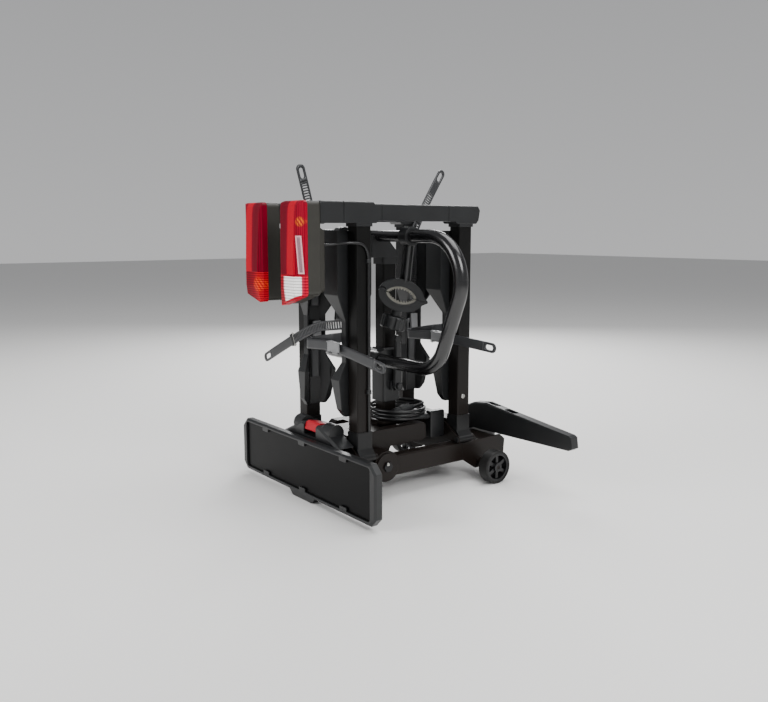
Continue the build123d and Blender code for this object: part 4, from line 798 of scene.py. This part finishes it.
class CARRIER_OT_fit_lamps(bpy.types.Operator):
    """Set the framed reflector into the outer corner of each lamp"""

    bl_idname = "carrier.fit_lamps"
    bl_label = "Fit the lamp reflectors"

    def execute(self, context):
        # The lens's corner is cut by a facet that starts here and runs outwards and forwards
        corner_x = 102
        corner = spot(corner_x, -77, 0)
        across = Vector((23.1, 11.0, 0)).normalized()
        outward = Vector((across.y, -across.x, 0))
        proud = 0.0002

        def on_facet(x, height):
            along = across * ((x - corner_x) / 1000 / across.x)
            return corner + along + Vector((0, 0, height / 1000)) + outward * proud

        for hand, side in SIDES.items():
            plate = bmesh.new()
            corners = [
                plate.verts.new(on_facet(*at)) for at in ((111, 517), (124, 517), (118, 594), (105, 594))]
            pane = plate.faces.new(corners)
            plate.normal_update()
            bmesh.ops.inset_individual(plate, faces=[pane], thickness=0.003, use_even_offset=True)
            pane.material_index = 1
            bmesh.ops.solidify(plate, geom=plate.faces[:], thickness=-0.0012)
            window = finish_piece(
                f"lamp_reflector_{hand}", mirrored(plate, side), "acrylic_pink_frame", f"wing_{hand}")
            window.data.materials.append(MATERIALS["prism_pane"])
        return {"FINISHED"}


class CARRIER_OT_drive_bolts(bpy.types.Operator):
    """Drive the button head bolts into the posts and the pivot drums"""

    bl_idname = "carrier.drive_bolts"
    bl_label = "Drive the bolts"

    def execute(self, context):
        for hand, side in SIDES.items():
            for name, seat, radius, body in (
                ("post_bolt", (121, 374, 211.5), 0.0055, f"wing_{hand}"),
                ("drum_bolt", (135, 137.5, 87), 0.004, "chassis"),
            ):
                shape = bmesh.new()
                # A domed head with a socket sunk into it
                add_round(
                    shape, frame_matrix(spot(*seat), FORWARD, UP),
                    [(0.0, radius), (0.0012, radius), (0.0024, radius * 0.72), (0.0026, radius * 0.45),
                     (0.0012, radius * 0.42)], 24)
                finish_piece(
                    f"{name}_{hand}", mirrored(shape, side), "zinc_plated_steel", body)
        return {"FINISHED"}


class CARRIER_OT_set_stage(bpy.types.Operator):
    """Lay the floor, hang the lights and place the camera"""

    bl_idname = "carrier.set_stage"
    bl_label = "Set the stage"

    def execute(self, context):
        settings = context.scene.carrier
        plan = bmesh.new()
        bmesh.ops.create_grid(plan, x_segments=1, y_segments=1, size=settings.floor_size / 2)
        bmesh.ops.translate(plan, verts=plan.verts, vec=(0, 0, GROUND))
        mesh = bpy.data.meshes.new("floor")
        plan.to_mesh(mesh)
        plan.free()
        floor = add_object("floor", mesh)
        material, tree = new_material("studio_paper")
        shader = add_node(
            tree, "ShaderNodeBsdfPrincipled",
            {"Base Color": (*settings.floor_colour, 1.0), "Roughness": 0.9})
        add_node(tree, "ShaderNodeOutputMaterial", {"Surface": shader.outputs["BSDF"]})
        give_finish(floor, material)

        # A room that is lighter at the horizon than overhead
        world = bpy.data.worlds.new("studio")
        world.use_nodes = True
        tree = world.node_tree
        around = add_node(tree, "ShaderNodeTexCoord")
        split = add_node(tree, "ShaderNodeSeparateXYZ", {"Vector": around.outputs["Generated"]})
        height = add_node(
            tree, "ShaderNodeMapRange", {"Value": split.outputs["Z"], "From Min": -0.02, "From Max": 0.55})
        room = add_node(
            tree, "ShaderNodeMix",
            {FACTOR: height.outputs["Result"], FIRST: srgb(0xC4C4C5), SECOND: srgb(0x949597)},
            data_type="RGBA")
        tree.links.new(room.outputs[MIXED], tree.nodes["Background"].inputs["Color"])
        context.scene.world = world

        for name, place, aim, size, power in (
            ("window_light", (2.6, -0.6, 2.2), (0, -0.3, 0.2), 1.4, 60.0),
            ("side_light", (-0.6, -3.4, 1.8), (0, -0.3, 0.2), 1.4, 50.0),
            ("top_light", (0.3, 0.5, 3.0), (0, -0.3, 0.2), 2.4, 75.0),
            ("rim_light", (-2.0, 1.4, 1.4), (0, -0.3, 0.1), 1.2, 50.0),
        ):
            lamp = bpy.data.lights.new(name, "AREA")
            lamp.shape = "SQUARE"
            lamp.size = size
            lamp.energy = power
            holder = add_object(name, lamp)
            holder.location = place
            holder.rotation_euler = (Vector(aim) - Vector(place)).to_track_quat("-Z", "Y").to_euler()

        # The photograph's camera, fitted to straight edges of the carrier: 8.3 degrees down
        camera = bpy.data.cameras.new("photo_view")
        camera.lens = settings.lens_focal
        camera.sensor_width = 36.0
        camera.sensor_fit = "HORIZONTAL"
        holder = add_object("photo_view", camera)
        holder.location = (1.55266, -1.50478, 0.52169)
        holder.rotation_euler = (radians(90 - 8.3), 0.0, radians(52.88))
        context.scene.camera = holder
        return {"FINISHED"}


class CARRIER_PT_panel(bpy.types.Panel):
    """Lists what the add-on makes"""

    bl_label = "Carrier"
    bl_idname = "CARRIER_PT_panel"
    bl_space_type = "VIEW_3D"
    bl_region_type = "UI"
    bl_category = "Carrier"

    def draw(self, context):
        for operator in OPERATORS:
            self.layout.operator(operator.bl_idname)
        for prop in context.scene.carrier.bl_rna.properties:
            if prop.identifier not in ("rna_type", "name"):
                self.layout.prop(context.scene.carrier, prop.identifier)


OPERATORS = (
    CARRIER_OT_set_stage,
    CARRIER_OT_wind_lead,
    CARRIER_OT_lay_lamp_cables,
    CARRIER_OT_finish_frame,
    CARRIER_OT_line_jaws,
    CARRIER_OT_lay_straps,
    CARRIER_OT_fit_lamps,
    CARRIER_OT_drive_bolts,
)
CLASSES = (CarrierSettings, *OPERATORS, CARRIER_PT_panel)
MATERIALS = {}


def register():
    """Makes the carrier's settings, operators and panel known."""
    for cls in CLASSES:
        bpy.utils.register_class(cls)
    bpy.types.Scene.carrier = PointerProperty(type=CarrierSettings)


def unregister():
    """Takes them away again."""
    del bpy.types.Scene.carrier
    for cls in reversed(CLASSES):
        bpy.utils.unregister_class(cls)


def main():
    """Builds the dressed carrier."""
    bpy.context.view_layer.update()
    register()
    MATERIALS.update(make_materials())
    for operator in OPERATORS:
        category, action = operator.bl_idname.split(".")
        getattr(getattr(bpy.ops, category), action)()


if __name__ == "__main__":
    main()
